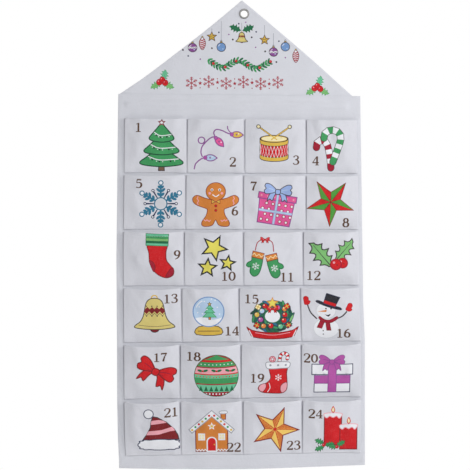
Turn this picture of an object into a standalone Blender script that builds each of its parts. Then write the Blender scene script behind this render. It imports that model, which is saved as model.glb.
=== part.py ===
"""A fabric advent calendar: a house-shaped wall hanging with six rows of four pleated pockets.

Lengths are in metres. The origin is the centre of the hanging eyelet's hole, on the back of
the gable cloth. +X is to the right as seen from the front, +Y goes into the wall, +Z is up.
"""

import math

import bmesh
import bpy

# The whole hanging
BODY_WIDTH = 0.480
BODY_HEIGHT = 0.728
GABLE_HEIGHT = 0.186
EYELET_DROP = 0.026
ROWS = 6
COLUMNS = 4

# The cloth and how its layers lie
CLOTH = 0.0006
LAYER_GAP = 0.0003
HEM = 0.008
GABLE_HEM = 0.006
HEM_STEP = 0.0004

# Where the sewn outline strays from a true house shape
BODY_OFFSET = -0.009
APEX_OFFSET = -0.0045
GABLE_INSET_LEFT = 0.002
GABLE_INSET_RIGHT = 0.0155
LEFT_SLOPE_SAG = 0.005
RIGHT_SLOPE_SAG = -0.002
BOTTOM_SAG = 0.005
SLOPE_STEPS = 6
BOTTOM_STEPS = 12

# The rod and the channel that holds it
ROD_RADIUS = 0.0025
ROD_CHAMFER = 0.0004
ROD_SIDES = 24
CHAMFER_SEGMENTS = 2
CHANNEL_HEIGHT = 0.022
CHANNEL_END = 0.008
CHANNEL_STEPS = 8
CHANNEL_END_STEPS = 2

# The pockets
TOP_MARGIN = 0.0474
BOTTOM_MARGIN = 0.0261
LEFT_MARGIN = 0.0125
RIGHT_MARGIN = 0.008
ROW_GAP = 0.0073
SEAM_ALLOWANCE = 0.003
END_TAB = 0.004
END_POCKET_LESS = 0.0107
SEAM_DRIFT = 0.0115
DRIFT_SHARES = (1.0, 1.0, 0.5, 0.1, 0.0, 0.0)
PLEAT = 0.009
CREASE_INSET = 0.003
END_CREASE_INSET = 0.005
GAPE = 0.008
GAPE_SHARES = (0.6, 0.65, 0.7, 0.8, 1.0, 0.95)
LOWER_LEG_SHARE = 0.35
BELLY_SHARE = 0.35
FACE_STEPS = 6
HEIGHT_STEPS = 4

# The eyelet and its washer
EYELET_BORE_RADIUS = 0.0068
EYELET_WALL = 0.0005
EYELET_RIM_RADIUS = 0.010
EYELET_RIM_HEIGHT = 0.0012
EYELET_LIP_WIDTH = 0.0018
EYELET_LIP_HEIGHT = 0.0005
WASHER_THICKNESS = 0.0005
EYELET_STEPS = 48
DOME_STEPS = 8

# Cutting and merging
OVERRUN = 0.002
MERGE = 0.00001
FLAT_ANGLE = math.radians(0.1)
SMOOTH_ANGLE = math.radians(40)
EDGE_ANGLE = math.radians(60)

# Heights and depths that follow from the sizes above
APEX_Z = EYELET_DROP
SHOULDER_Z = APEX_Z - GABLE_HEIGHT
BOTTOM_Z = SHOULDER_Z - BODY_HEIGHT
BODY_LEFT = BODY_OFFSET - BODY_WIDTH / 2
BODY_RIGHT = BODY_OFFSET + BODY_WIDTH / 2
GABLE_LEFT = BODY_LEFT + GABLE_INSET_LEFT
GABLE_RIGHT = BODY_RIGHT - GABLE_INSET_RIGHT
GABLE_FRONT_Y = -CLOTH
BODY_HEM_Y = GABLE_FRONT_Y - LAYER_GAP
BODY_BACK_Y = BODY_HEM_Y - CLOTH
BODY_FRONT_Y = BODY_BACK_Y - CLOTH
CHANNEL_TOP = SHOULDER_Z - HEM - HEM_STEP
CHANNEL_BOTTOM = CHANNEL_TOP - CHANNEL_HEIGHT
CHANNEL_LEFT = GABLE_LEFT + HEM + HEM_STEP
CHANNEL_RIGHT = GABLE_RIGHT - GABLE_HEM - HEM_STEP
TAB_BOTTOM = CHANNEL_BOTTOM - HEM_STEP - GABLE_HEM
ROD_Y = (BODY_BACK_Y + GABLE_FRONT_Y) / 2
ROD_Z = (CHANNEL_TOP + CHANNEL_BOTTOM) / 2
ROD_LEFT = CHANNEL_LEFT + CHANNEL_END
ROD_RIGHT = CHANNEL_RIGHT - CHANNEL_END
ROD_BULGE = ROD_RADIUS + LAYER_GAP - (GABLE_FRONT_Y - BODY_BACK_Y) / 2
ROW_PITCH = (BODY_HEIGHT - TOP_MARGIN - BOTTOM_MARGIN + ROW_GAP) / ROWS
POCKET_HEIGHT = ROW_PITCH - ROW_GAP
LAYER_STEP = CLOTH + LAYER_GAP
FIRST_LAYER = LAYER_GAP + CLOTH / 2
STRIP_LEFT = BODY_LEFT + LEFT_MARGIN
STRIP_RIGHT = BODY_RIGHT - RIGHT_MARGIN
BARREL_RADIUS = EYELET_BORE_RADIUS + EYELET_WALL
HOLE_RADIUS = BARREL_RADIUS + LAYER_GAP


def clear_scene():
    """Remove whatever the scene holds."""
    for obj in list(bpy.data.objects):
        bpy.data.objects.remove(obj)


def new_collection(name):
    """A collection in the scene."""
    collection = bpy.data.collections.new(name)
    bpy.context.scene.collection.children.link(collection)
    return collection


def new_material(name, colour, roughness, metallic):
    """A Principled material of one colour."""
    material = bpy.data.materials.new(name)
    material.use_nodes = True
    shader = material.node_tree.nodes["Principled BSDF"]
    shader.inputs["Base Color"].default_value = (*colour, 1.0)
    shader.inputs["Roughness"].default_value = roughness
    shader.inputs["Metallic"].default_value = metallic
    return material


def new_object(name, mesh, collection, material=None):
    """An object for a mesh, in its collection and with its material."""
    obj = bpy.data.objects.new(name, mesh)
    collection.objects.link(obj)
    if material:
        mesh.materials.append(material)
    return obj


def smooth(mesh):
    """Smooth shading, with the folds and cut edges kept sharp."""
    mesh.shade_smooth()
    mesh.set_sharp_from_angle(angle=SMOOTH_ANGLE)


def bowed_line(start, end, sag, steps):
    """Points from start up to end in x and z, bowed to the right of that way by sag at the middle."""
    along_x, along_z = end[0] - start[0], end[1] - start[1]
    length = math.hypot(along_x, along_z)
    points = []
    for step in range(steps):
        share = step / steps
        bow = sag * 4 * share * (1 - share)
        x = start[0] + along_x * share + bow * along_z / length
        z = start[1] + along_z * share - bow * along_x / length
        points.append((x, z))
    return points


def body_outline():
    """The body's edge in x and z: straight sides and top, and a bottom that sags a little."""
    left = (BODY_LEFT, BOTTOM_Z + BOTTOM_SAG)
    right = (BODY_RIGHT, BOTTOM_Z + BOTTOM_SAG)
    bottom = bowed_line(left, right, BOTTOM_SAG, BOTTOM_STEPS)
    return bottom + [right, (BODY_RIGHT, SHOULDER_Z), (BODY_LEFT, SHOULDER_Z)]


def gable_outline():
    """The gable's edge in x and z: two slopes, and a tab that goes down behind the body."""
    left = (GABLE_LEFT, SHOULDER_Z)
    right = (GABLE_RIGHT, SHOULDER_Z)
    apex = (APEX_OFFSET, APEX_Z)
    tab = [(GABLE_LEFT, TAB_BOTTOM), (GABLE_RIGHT, TAB_BOTTOM)]
    right_slope = bowed_line(right, apex, -RIGHT_SLOPE_SAG, SLOPE_STEPS)
    left_slope = bowed_line(apex, left, -LEFT_SLOPE_SAG, SLOPE_STEPS)
    return tab + right_slope + left_slope + [left]


def outline_mesh(name, outline, front, back):
    """A flat outline in x and z, filled and extruded between its front and back depths."""
    curve = bpy.data.curves.new(name, "CURVE")
    curve.dimensions = "2D"
    curve.fill_mode = "BOTH"
    curve.extrude = (back - front) / 2
    spline = curve.splines.new("POLY")
    spline.points.add(len(outline) - 1)
    for point, (x, z) in zip(spline.points, outline):
        point.co = (x, z, 0, 1)
    spline.use_cyclic_u = True
    guide = bpy.data.objects.new(name, curve)
    bpy.context.scene.collection.objects.link(guide)
    guide.rotation_euler = (math.pi / 2, 0, 0)
    guide.location = (0, (front + back) / 2, 0)
    bpy.context.view_layer.update()
    graph = bpy.context.evaluated_depsgraph_get()
    mesh = bpy.data.meshes.new_from_object(guide.evaluated_get(graph))
    mesh.transform(guide.matrix_world)
    bpy.data.objects.remove(guide)
    return mesh


def turn_hem(model, hem):
    """Leave the double cloth of the hem round the back, and one layer inside it."""
    bmesh.ops.remove_doubles(model, verts=model.verts, dist=MERGE)
    bmesh.ops.dissolve_limit(
        model, angle_limit=FLAT_ANGLE, verts=model.verts, edges=model.edges
    )
    bmesh.ops.recalc_face_normals(model, faces=model.faces)
    back = [max(model.faces, key=lambda face: face.normal.y * face.calc_area())]
    bmesh.ops.inset_region(
        model, faces=back, thickness=hem, depth=0, use_even_offset=True
    )
    bmesh.ops.inset_region(
        model, faces=back, thickness=HEM_STEP, depth=-CLOTH, use_even_offset=True
    )


def channel_levels():
    """The x and z places at which the cloth bends over the rod."""
    across = []
    for step in range(CHANNEL_END_STEPS + 1):
        share = step / CHANNEL_END_STEPS
        across.append(CHANNEL_LEFT + CHANNEL_END * share)
        across.append(CHANNEL_RIGHT - CHANNEL_END * share)
    up = []
    for step in range(CHANNEL_STEPS + 1):
        up.append(CHANNEL_BOTTOM + CHANNEL_HEIGHT * step / CHANNEL_STEPS)
    return across, up


def split_at(model, place, normal):
    """Cut new edges through a mesh where a plane crosses it."""
    geometry = model.verts[:] + model.edges[:] + model.faces[:]
    bmesh.ops.bisect_plane(
        model, geom=geometry, dist=MERGE, plane_co=place, plane_no=normal
    )


def bulge_at(x, z):
    """How far the cloth stands off to clear the rod: a cosine hump that fades out at both ends."""
    height = abs(z - ROD_Z) / (CHANNEL_HEIGHT / 2)
    end = min(x - CHANNEL_LEFT, CHANNEL_RIGHT - x) / CHANNEL_END
    if height >= 1 or end <= 0:
        return 0
    fade = min(end, 1)
    hump = (1 + math.cos(math.pi * height)) / 2
    return ROD_BULGE * hump * fade * fade * (3 - 2 * fade)


def wrap_over_rod(model, way):
    """Bulge a sheet over the rod, forwards if way is -1 and backwards if it is 1."""
    across, up = channel_levels()
    for x in across:
        split_at(model, (x, 0, 0), (1, 0, 0))
    for z in up:
        split_at(model, (0, 0, z), (0, 0, 1))
    for vertex in model.verts:
        vertex.co.y += way * bulge_at(vertex.co.x, vertex.co.z)


def hemmed_panel(name, outline, front, hem, way, collection, material):
    """A cloth panel, hemmed to its back and bulged over the rod."""
    back = front + 2 * CLOTH
    mesh = outline_mesh(name, outline, front, back)
    model = bmesh.new()
    model.from_mesh(mesh)
    turn_hem(model, hem)
    wrap_over_rod(model, way)
    model.to_mesh(mesh)
    model.free()
    return new_object(name, mesh, collection, material)


def make_body_panel(parts, material):
    """The rectangular backing that the pocket strips are sewn to."""
    return hemmed_panel(
        "body_panel", body_outline(), BODY_FRONT_Y, HEM, -1, parts, material
    )


def make_gable_panel(parts, cutters, material):
    """The pointed top panel, with its hole for the eyelet."""
    gable = hemmed_panel(
        "gable_panel", gable_outline(), GABLE_FRONT_Y, GABLE_HEM, 1, parts, material
    )
    bpy.ops.mesh.primitive_cylinder_add(
        vertices=EYELET_STEPS,
        radius=HOLE_RADIUS,
        depth=2 * (CLOTH + OVERRUN),
        rotation=(math.pi / 2, 0, 0),
    )
    cutter = bpy.context.active_object
    cutter.name = "eyelet_hole_cutter"
    cutter.hide_render = True
    cutter.display_type = "WIRE"
    move_to(cutter, cutters)
    hole = gable.modifiers.new("eyelet_hole", "BOOLEAN")
    hole.operation = "DIFFERENCE"
    hole.solver = "EXACT"
    hole.object = cutter
    return gable


def move_to(obj, collection):
    """Take an object out of its collections and put it in this one."""
    for old in list(obj.users_collection):
        old.objects.unlink(obj)
    collection.objects.link(obj)


def make_spreader_rod(parts, material):
    """The wooden rod in the channel, which keeps the shoulders apart."""
    bpy.ops.mesh.primitive_cylinder_add(
        vertices=ROD_SIDES,
        radius=ROD_RADIUS,
        depth=ROD_RIGHT - ROD_LEFT,
        location=((ROD_LEFT + ROD_RIGHT) / 2, ROD_Y, ROD_Z),
        rotation=(0, math.pi / 2, 0),
    )
    rod = bpy.context.active_object
    rod.name = "spreader_rod"
    rod.data.materials.append(material)
    move_to(rod, parts)
    smooth(rod.data)
    chamfer = rod.modifiers.new("end_chamfer", "BEVEL")
    chamfer.width = ROD_CHAMFER
    chamfer.segments = CHAMFER_SEGMENTS
    chamfer.limit_method = "ANGLE"
    chamfer.angle_limit = EDGE_ANGLE
    return rod


def column_seams(row):
    """The five x places at which a row's strip is sewn down, from left to right."""
    first = STRIP_LEFT + END_TAB
    last = STRIP_RIGHT - END_TAB
    pitch = (last - first + 2 * END_POCKET_LESS) / COLUMNS
    drift = SEAM_DRIFT * DRIFT_SHARES[row]
    seams = [first]
    for column in range(1, COLUMNS):
        seams.append(first - END_POCKET_LESS + pitch * column + drift)
    seams.append(last)
    return seams


def pleat_points(seam, inset, rise, way):
    """The two folds of a side pleat as (x, depth) points, from the seam out to the pocket's face.

    The cloth runs in under the face on its lower leg, turns back on its upper leg and turns
    again at the face's crease. Each leg keeps its length as the pocket opens by rise.
    """
    lower_rise = rise * LOWER_LEG_SHARE
    upper_rise = rise - lower_rise
    lower_leg = PLEAT + inset
    inner = seam + way * math.sqrt(lower_leg**2 - lower_rise**2)
    crease = inner - way * math.sqrt(PLEAT**2 - upper_rise**2)
    inner_depth = FIRST_LAYER + lower_rise
    crease_depth = inner_depth + LAYER_STEP + upper_rise
    return [
        (inner, inner_depth),
        (inner, inner_depth + LAYER_STEP),
        (crease, crease_depth),
        (crease, crease_depth + LAYER_STEP),
    ]


def face_points(left, right, flat_width):
    """The pocket's face between its two creases: a parabola whose length is the cloth's flat width."""
    chord = right[0] - left[0]
    bow = math.sqrt(max(3 * chord * (flat_width - chord) / 8, 0))
    points = []
    for step in range(1, FACE_STEPS):
        share = step / FACE_STEPS
        points.append(
            (left[0] + chord * share, left[1] + bow * 4 * share * (1 - share))
        )
    return points


def crease_inset(edge):
    """How far a face's crease stays from its column seam, which is more at the strip's two ends."""
    return END_CREASE_INSET if edge in (0, COLUMNS) else CREASE_INSET


def strip_section(row, rise):
    """The whole strip seen from above, as (x, depth) points, when its pockets open by rise."""
    seams = column_seams(row)
    points = [(STRIP_LEFT, FIRST_LAYER), (seams[0], FIRST_LAYER)]
    for column in range(COLUMNS):
        left_seam, right_seam = seams[column], seams[column + 1]
        left_inset, right_inset = crease_inset(column), crease_inset(column + 1)
        left = pleat_points(left_seam, left_inset, rise, 1)
        right = pleat_points(right_seam, right_inset, rise, -1)
        flat_width = right_seam - left_seam - left_inset - right_inset
        points += left
        points += face_points(left[-1], right[-1], flat_width)
        points += right[::-1]
        points.append((right_seam, FIRST_LAYER))
    points.append((STRIP_RIGHT, FIRST_LAYER))
    return points


def strip_heights():
    """The heights above the bottom seam at which the strip has a row of points."""
    heights = [-SEAM_ALLOWANCE]
    for step in range(HEIGHT_STEPS + 1):
        heights.append(POCKET_HEIGHT * step / HEIGHT_STEPS)
    return heights


def opening_share(height):
    """How much of its full gape a pocket has at a height above its bottom seam."""
    share = max(height, 0) / POCKET_HEIGHT
    return share * (1 + BELLY_SHARE * (1 - share))


def strip_surface(row):
    """The strip's middle surface, as one list of points for each of its heights.

    Every point keeps its cloth distance from the bottom seam, so the mouth dips as it gapes.
    """
    seam_z = SHOULDER_Z - TOP_MARGIN - ROW_PITCH * row - POCKET_HEIGHT
    flat = strip_section(row, 0)
    surface = []
    for height in strip_heights():
        rise = GAPE * GAPE_SHARES[row] * opening_share(height)
        line = []
        for (x, depth), (_, flat_depth) in zip(strip_section(row, rise), flat):
            lift = math.copysign(
                math.sqrt(height**2 - (depth - flat_depth) ** 2), height
            )
            line.append((x, BODY_FRONT_Y - depth, seam_z + lift))
        surface.append(line)
    return surface


def make_pocket_strip(row, parts, material):
    """One row of four pockets: a single pleated strip of cloth, sewn down between the pockets."""
    surface = strip_surface(row)
    across, up = len(surface[0]) - 1, len(surface) - 1
    model = bmesh.new()
    bmesh.ops.create_grid(model, x_segments=across, y_segments=up, size=1)
    for vertex in model.verts:
        column = round((vertex.co.x + 1) / 2 * across)
        line = round((vertex.co.y + 1) / 2 * up)
        vertex.co = surface[line][column]
    name = f"pocket_strip_row_{row + 1}"
    mesh = bpy.data.meshes.new(name)
    model.to_mesh(mesh)
    model.free()
    strip = new_object(name, mesh, parts, material)
    smooth(mesh)
    cloth = strip.modifiers.new("cloth", "SOLIDIFY")
    cloth.thickness = CLOTH
    cloth.offset = 0
    cloth.use_even_offset = True
    return strip


def turned_ring(name, profile, parts, material):
    """A ring about the eyelet's axis from a closed profile of (radius, forward) points."""
    mesh = bpy.data.meshes.new(name)
    points = [(radius, 0, forward) for radius, forward in profile]
    edges = [(index, (index + 1) % len(points)) for index in range(len(points))]
    mesh.from_pydata(points, edges, [])
    ring = new_object(name, mesh, parts, material)
    ring.rotation_euler = (math.pi / 2, 0, 0)
    screw = ring.modifiers.new("turn", "SCREW")
    screw.steps = EYELET_STEPS
    screw.render_steps = EYELET_STEPS
    screw.use_merge_vertices = True
    screw.merge_threshold = MERGE
    screw.use_smooth_shade = True
    return ring


def dome(inner, outer, base, height, outward):
    """A half-round profile between two radii, run outwards over its top or inwards under it."""
    middle, half = (inner + outer) / 2, (outer - inner) / 2
    points = []
    for step in range(DOME_STEPS + 1):
        angle = math.pi * step / DOME_STEPS
        reach = -math.cos(angle) if outward else math.cos(angle)
        rise = height * math.sin(angle)
        points.append((middle + half * reach, base + (rise if outward else -rise)))
    return points


def make_eyelet(parts, material):
    """The eyelet: a domed rim in front, a barrel through the cloth and a lip rolled over behind."""
    rim_base = CLOTH + LAYER_GAP
    lip_base = -(LAYER_GAP + WASHER_THICKNESS + LAYER_GAP)
    lip_radius = BARREL_RADIUS + EYELET_LIP_WIDTH
    rim = dome(EYELET_BORE_RADIUS, EYELET_RIM_RADIUS, rim_base, EYELET_RIM_HEIGHT, True)
    barrel = [(BARREL_RADIUS, rim_base), (BARREL_RADIUS, lip_base)]
    lip = dome(EYELET_BORE_RADIUS, lip_radius, lip_base, EYELET_LIP_HEIGHT, False)
    return turned_ring("eyelet", rim + barrel + lip, parts, material)


def make_eyelet_washer(parts, material):
    """The flat washer that backs the cloth round the eyelet."""
    front = -LAYER_GAP
    back = front - WASHER_THICKNESS
    profile = [
        (HOLE_RADIUS, front),
        (EYELET_RIM_RADIUS, front),
        (EYELET_RIM_RADIUS, back),
        (HOLE_RADIUS, back),
    ]
    return turned_ring("eyelet_washer", profile, parts, material)


def main():
    """Build the calendar."""
    clear_scene()
    parts = new_collection("fabric_advent_calendar")
    cutters = new_collection("cutters")
    cloth = new_material("white_cloth", (0.80, 0.81, 0.85), 0.9, 0.0)
    pocket_cloth = new_material("pocket_cloth", (0.84, 0.85, 0.89), 0.88, 0.0)
    wood = new_material("rod_wood", (0.62, 0.45, 0.27), 0.6, 0.0)
    metal = new_material("eyelet_metal", (0.75, 0.75, 0.76), 0.25, 1.0)
    make_body_panel(parts, cloth)
    make_gable_panel(parts, cutters, cloth)
    make_spreader_rod(parts, wood)
    for row in range(ROWS):
        make_pocket_strip(row, parts, pocket_cloth)
    make_eyelet(parts, metal)
    make_eyelet_washer(parts, metal)


main()
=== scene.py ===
"""Dresses the fabric advent calendar: printed cloth, pleated pockets, stitches and a metal eyelet.

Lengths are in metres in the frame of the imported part: +X to the right as seen from the front,
+Y into the wall, +Z up, and the origin at the centre of the eyelet's hole. Drawings are in
millimetres on the flat cloth, x to the right and y up, and a line of a drawing may be written
as a text of its numbers, x y x y.
"""

import logging
import math
from dataclasses import dataclass, field
from enum import Enum
from functools import cached_property

import bpy
import numpy as np
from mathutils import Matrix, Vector
from mathutils.geometry import delaunay_2d_cdt


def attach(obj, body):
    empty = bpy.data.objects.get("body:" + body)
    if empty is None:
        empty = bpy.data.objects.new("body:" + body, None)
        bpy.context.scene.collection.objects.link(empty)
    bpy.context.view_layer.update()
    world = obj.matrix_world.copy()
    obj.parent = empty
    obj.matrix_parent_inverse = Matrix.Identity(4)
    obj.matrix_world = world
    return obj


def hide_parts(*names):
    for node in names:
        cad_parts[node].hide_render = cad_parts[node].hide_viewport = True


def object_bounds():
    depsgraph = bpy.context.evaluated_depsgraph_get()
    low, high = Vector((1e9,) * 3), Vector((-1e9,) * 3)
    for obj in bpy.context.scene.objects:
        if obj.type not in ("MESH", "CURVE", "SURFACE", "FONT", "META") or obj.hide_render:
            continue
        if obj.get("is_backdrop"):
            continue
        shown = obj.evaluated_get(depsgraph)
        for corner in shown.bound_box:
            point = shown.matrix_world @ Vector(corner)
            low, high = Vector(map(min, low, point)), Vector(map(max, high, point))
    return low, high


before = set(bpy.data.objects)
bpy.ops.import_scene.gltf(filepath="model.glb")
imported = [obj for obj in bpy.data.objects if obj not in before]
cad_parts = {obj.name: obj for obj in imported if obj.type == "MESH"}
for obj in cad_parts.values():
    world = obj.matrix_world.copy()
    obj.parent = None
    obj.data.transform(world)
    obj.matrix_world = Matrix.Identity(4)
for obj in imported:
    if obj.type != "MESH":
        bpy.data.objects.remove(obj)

LOG = logging.getLogger("advent_calendar")
Points = np.ndarray
Line = np.ndarray | list | tuple | str
Pair = tuple[np.ndarray, np.ndarray]
Colour = tuple[float, float, float]
Socket = bpy.types.NodeSocket
Material = bpy.types.Material
Piece = bpy.types.Object
MM = 0.001
BLEED = 1.4
PRINT = "print"
FLAT = "flat_cloth"


class Ink(Enum):
    """The inks of the print, each as its colour on white cloth in six hex digits."""

    BARE = "FFFFFF"
    WHITE = "EDEEF3"
    LINE = "3A3238"
    BROWN = "5C4233"
    BARK = "7A5C49"
    GREEN = "3F9A5C"
    DARK_GREEN = "1E6B45"
    PINE = "1D4A36"
    LEAF = "7FBF74"
    MINT = "6CC49A"
    RED = "D01A20"
    CRIMSON = "A31830"
    DARK_RED = "7E1D22"
    PINK = "E25A98"
    ROSE = "EFA9B4"
    PURPLE = "8A4C92"
    VIOLET = "B455A4"
    BLUE = "7398CB"
    SKY = "9DB4E4"
    PALE_BLUE = "B8D0EA"
    TEAL = "2C7391"
    NAVY = "2B3252"
    GOLD = "DDB84E"
    BRASS = "DCCB7C"
    AMBER = "F3CC6A"
    APRICOT = "EFA64C"
    RUST = "C2512A"
    GRASS = "4F9A3C"
    YELLOW = "E6DC62"
    CREAM = "F4E8B8"
    ORANGE = "E08A3E"
    GINGER = "D58238"
    GREY = "9A9CA6"
    PALE_GREY = "D3D6DC"
    BLACK = "26262C"

    def cover(self) -> list[float]:
        """Work out the linear red, green and blue that a shader takes, and how much of it covers the
        cloth: each value is its own 12.92th part when small, else a power of 2.4.

        Returns:
            The four values.
        """
        values = np.array(list(bytes.fromhex(self.value))) / 255
        bright = ((values + 0.055) / 1.055) ** 2.4
        linear = np.where(values <= 0.04045, values / 12.92, bright)
        return [*linear.tolist(), 0.0 if self is Ink.BARE else 1.0]


(
    BARE, WHITE, LINE, BROWN, BARK, GREEN, DARK_GREEN, PINE, LEAF, MINT, RED, CRIMSON, DARK_RED, PINK, ROSE,
    PURPLE, VIOLET, BLUE, SKY, PALE_BLUE, TEAL, NAVY, GOLD, BRASS, AMBER, APRICOT, RUST, GRASS, YELLOW, CREAM,
    ORANGE, GINGER, GREY, PALE_GREY, BLACK,
) = Ink


def arc(x: float, y: float, rx: float, ry: float, start: float, end: float, steps: int = 14) -> Points:
    """Part of an ellipse, from start to end in degrees: its centre plus radius times cosine or sine."""
    angle = np.radians(np.linspace(start, end, steps))
    return np.column_stack([x + rx * np.cos(angle), y + ry * np.sin(angle)])


def ring(x: float, y: float, rx: float, ry: float | None = None, steps: int = 28) -> Points:
    """A closed ellipse of so many points, anticlockwise: ry is the same as rx if left out."""
    return arc(x, y, rx, ry or rx, 0, 360, steps + 1)[:-1]


def star(x: float, y: float, outer: float, inner: float, turn: float = 90) -> Points:
    """A closed five-pointed star, whose radius steps between outer and inner, with its first tip at turn."""
    unit = arc(0, 0, 1, 1, turn, turn + 360, 11)[:-1]
    return unit * np.array([[outer], [inner]] * 5) + (x, y)


def smooth(points: Line, closed: bool = True, steps: int = 5) -> Points:
    """Carry a Catmull-Rom curve through points: each span is the cubic whose end slopes are half
    the step between its neighbours.

    Args:
        points: The places that the curve passes, with any further columns carried along.
        closed: Whether the curve comes back to its start.
        steps: How many points each span gets.

    Returns:
        The points of the curve.
    """
    base = np.asarray(points, float)
    if closed:
        before, after, last = np.roll(base, 1, 0), np.roll(base, -1, 0), np.roll(base, -2, 0)
    else:
        padded = np.vstack([2 * base[0] - base[1], base, 2 * base[-1] - base[-2]])
        before, base, after, last = padded[:-3], padded[1:-2], padded[2:-1], padded[3:]
    t = (np.arange(steps) / steps)[None, :, None]
    p0, p1, p2, p3 = (part[:, None, :] for part in (before, base, after, last))
    curve = p1 + 0.5 * ((p2 - p0) * t + (2 * p0 - 5 * p1 + 4 * p2 - p3) * t**2 + (3 * p1 - p0 - 3 * p2 + p3) * t**3)
    curve = curve.reshape(-1, base.shape[1])
    return curve if closed else np.vstack([curve, padded[-2]])


def traced(line: Line, closed: bool = True, steps: int = 0) -> Points:
    """Read a line's points, or the text of their numbers, rounded by a smooth curve if steps are given."""
    points = np.array(line.split(), float).reshape(-1, 2) if isinstance(line, str) else np.asarray(line, float)
    return smooth(points, closed, steps) if steps else points


def mirrored(half: Line) -> Points:
    """Close a half outline, drawn on the right from its axis to its axis, with its mirror image."""
    right = traced(half)
    return np.vstack([right, right[-2:0:-1] * (-1, 1)])


def turned(points: Line, degrees: float, x: float = 0, y: float = 0, size: float = 1) -> Points:
    """Turn points anticlockwise about the origin, scale them by size, and move them by x and y."""
    cosine, sine = math.cos(math.radians(degrees)), math.sin(math.radians(degrees))
    return traced(points) @ np.array([[cosine, sine], [-sine, cosine]]) * size + (x, y)


def unit(vectors: Points) -> Points:
    """Vectors of the same ways, each made one long."""
    return vectors / np.linalg.norm(vectors, axis=1, keepdims=True)


def running(path: Points) -> Points:
    """The length run along a path up to each of its points."""
    return np.concatenate([[0], np.cumsum(np.linalg.norm(np.diff(path, axis=0), axis=1))])


def along_path(places: Points, length: Points, values: Points) -> Points:
    """Read every column of values, known at the running lengths of a path, at other places on it."""
    return np.column_stack([np.interp(places, length, column) for column in values.T])


def spaced(path: Points, step: float) -> Points:
    """Put points at an even spacing of about step along a path, with both ends kept."""
    length = running(path)
    return along_path(np.linspace(0, length[-1], max(round(length[-1] / step), 1) + 1), length, path)


@dataclass
class Drawing:
    """A flat drawing of inked shapes in millimetres, where a later shape covers an earlier one."""

    shapes: list[tuple[Points, Ink]] = field(default_factory=list)

    def fill(self, outline: Line, ink: Ink, steps: int = 0) -> "Drawing":
        """Ink the inside of a closed outline.

        Args:
            outline: The outline.
            ink: The ink.
            steps: How finely a smooth curve rounds it.

        Returns:
            The drawing itself.
        """
        points = traced(outline, True, steps)
        after = np.roll(points, -1, 0)
        area = np.sum(points[:, 0] * after[:, 1] - points[:, 1] * after[:, 0])
        self.shapes.append((points if area > 0 else points[::-1], ink))
        return self

    def stroke(
        self, path: Line, width: float | Line, ink: Ink | list[Ink], closed: bool = False, steps: int = 0
    ) -> "Drawing":
        """Ink a line as a chain of four-sided shapes with mitred corners: each side runs half the
        width off the path, along the mean of the two neighbouring normals.

        Args:
            path: The middle of the line.
            width: Its width, or one width for each point.
            ink: Its ink, or inks that take turns along it.
            closed: Whether it comes back to its start.
            steps: How finely a smooth curve rounds it.

        Returns:
            The drawing itself.
        """
        middle = traced(path, closed, steps)[:, :2]
        half = np.broadcast_to(np.asarray(width, float) / 2, len(middle))[:, None]
        ahead = np.roll(middle, -1, 0) - middle
        if not closed:
            ahead[-1] = ahead[-2]
        ahead /= np.maximum(np.linalg.norm(ahead, axis=1, keepdims=True), 1e-9)
        behind = np.roll(ahead, 1, 0)
        if not closed:
            behind[0] = ahead[0]
        normal = (ahead + behind)[:, ::-1] * (-1, 1)
        reach = normal / np.maximum(np.sum(normal * normal, axis=1, keepdims=True) / 2, 0.25) * half
        left, right = middle + reach, middle - reach
        inks = ink if isinstance(ink, list) else [ink]
        for index in range(len(middle) if closed else len(middle) - 1):
            after = (index + 1) % len(middle)
            self.fill([right[index], right[after], left[after], left[index]], inks[index % len(inks)])
        return self

    def shape(self, outline: Line, ink: Ink, edge: Ink = LINE, width: float = 1.1, steps: int = 0) -> "Drawing":
        """Ink a closed shape and the line round it, which spreads a little in the cloth."""
        points = traced(outline, True, steps)
        return self.fill(points, ink).stroke(points, width * BLEED, edge, True)

    def dots(self, places: Line, radius: float, ink: Ink, steps: int = 8) -> "Drawing":
        """Ink a dot of so many sides at each place."""
        for x, y in traced(places).reshape(-1, 2):
            self.fill(ring(x, y, radius, steps=steps), ink)
        return self

    def add(self, other: "Drawing", x: float = 0, y: float = 0, turn: float = 0, size: float = 1) -> "Drawing":
        """Place another drawing on this one, its origin at x and y, turned anticlockwise and scaled."""
        self.shapes += [(turned(points, turn, x, y, size), ink) for points, ink in other.shapes]
        return self

    def flipped(self) -> "Drawing":
        """A new drawing that is this one's mirror image, left for right."""
        return Drawing([((points * (-1, 1))[::-1], ink) for points, ink in self.shapes])

    def both(self, part: "Drawing") -> "Drawing":
        """Place a part's mirror image on this one, and then the part itself."""
        return self.add(part.flipped()).add(part)


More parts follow.
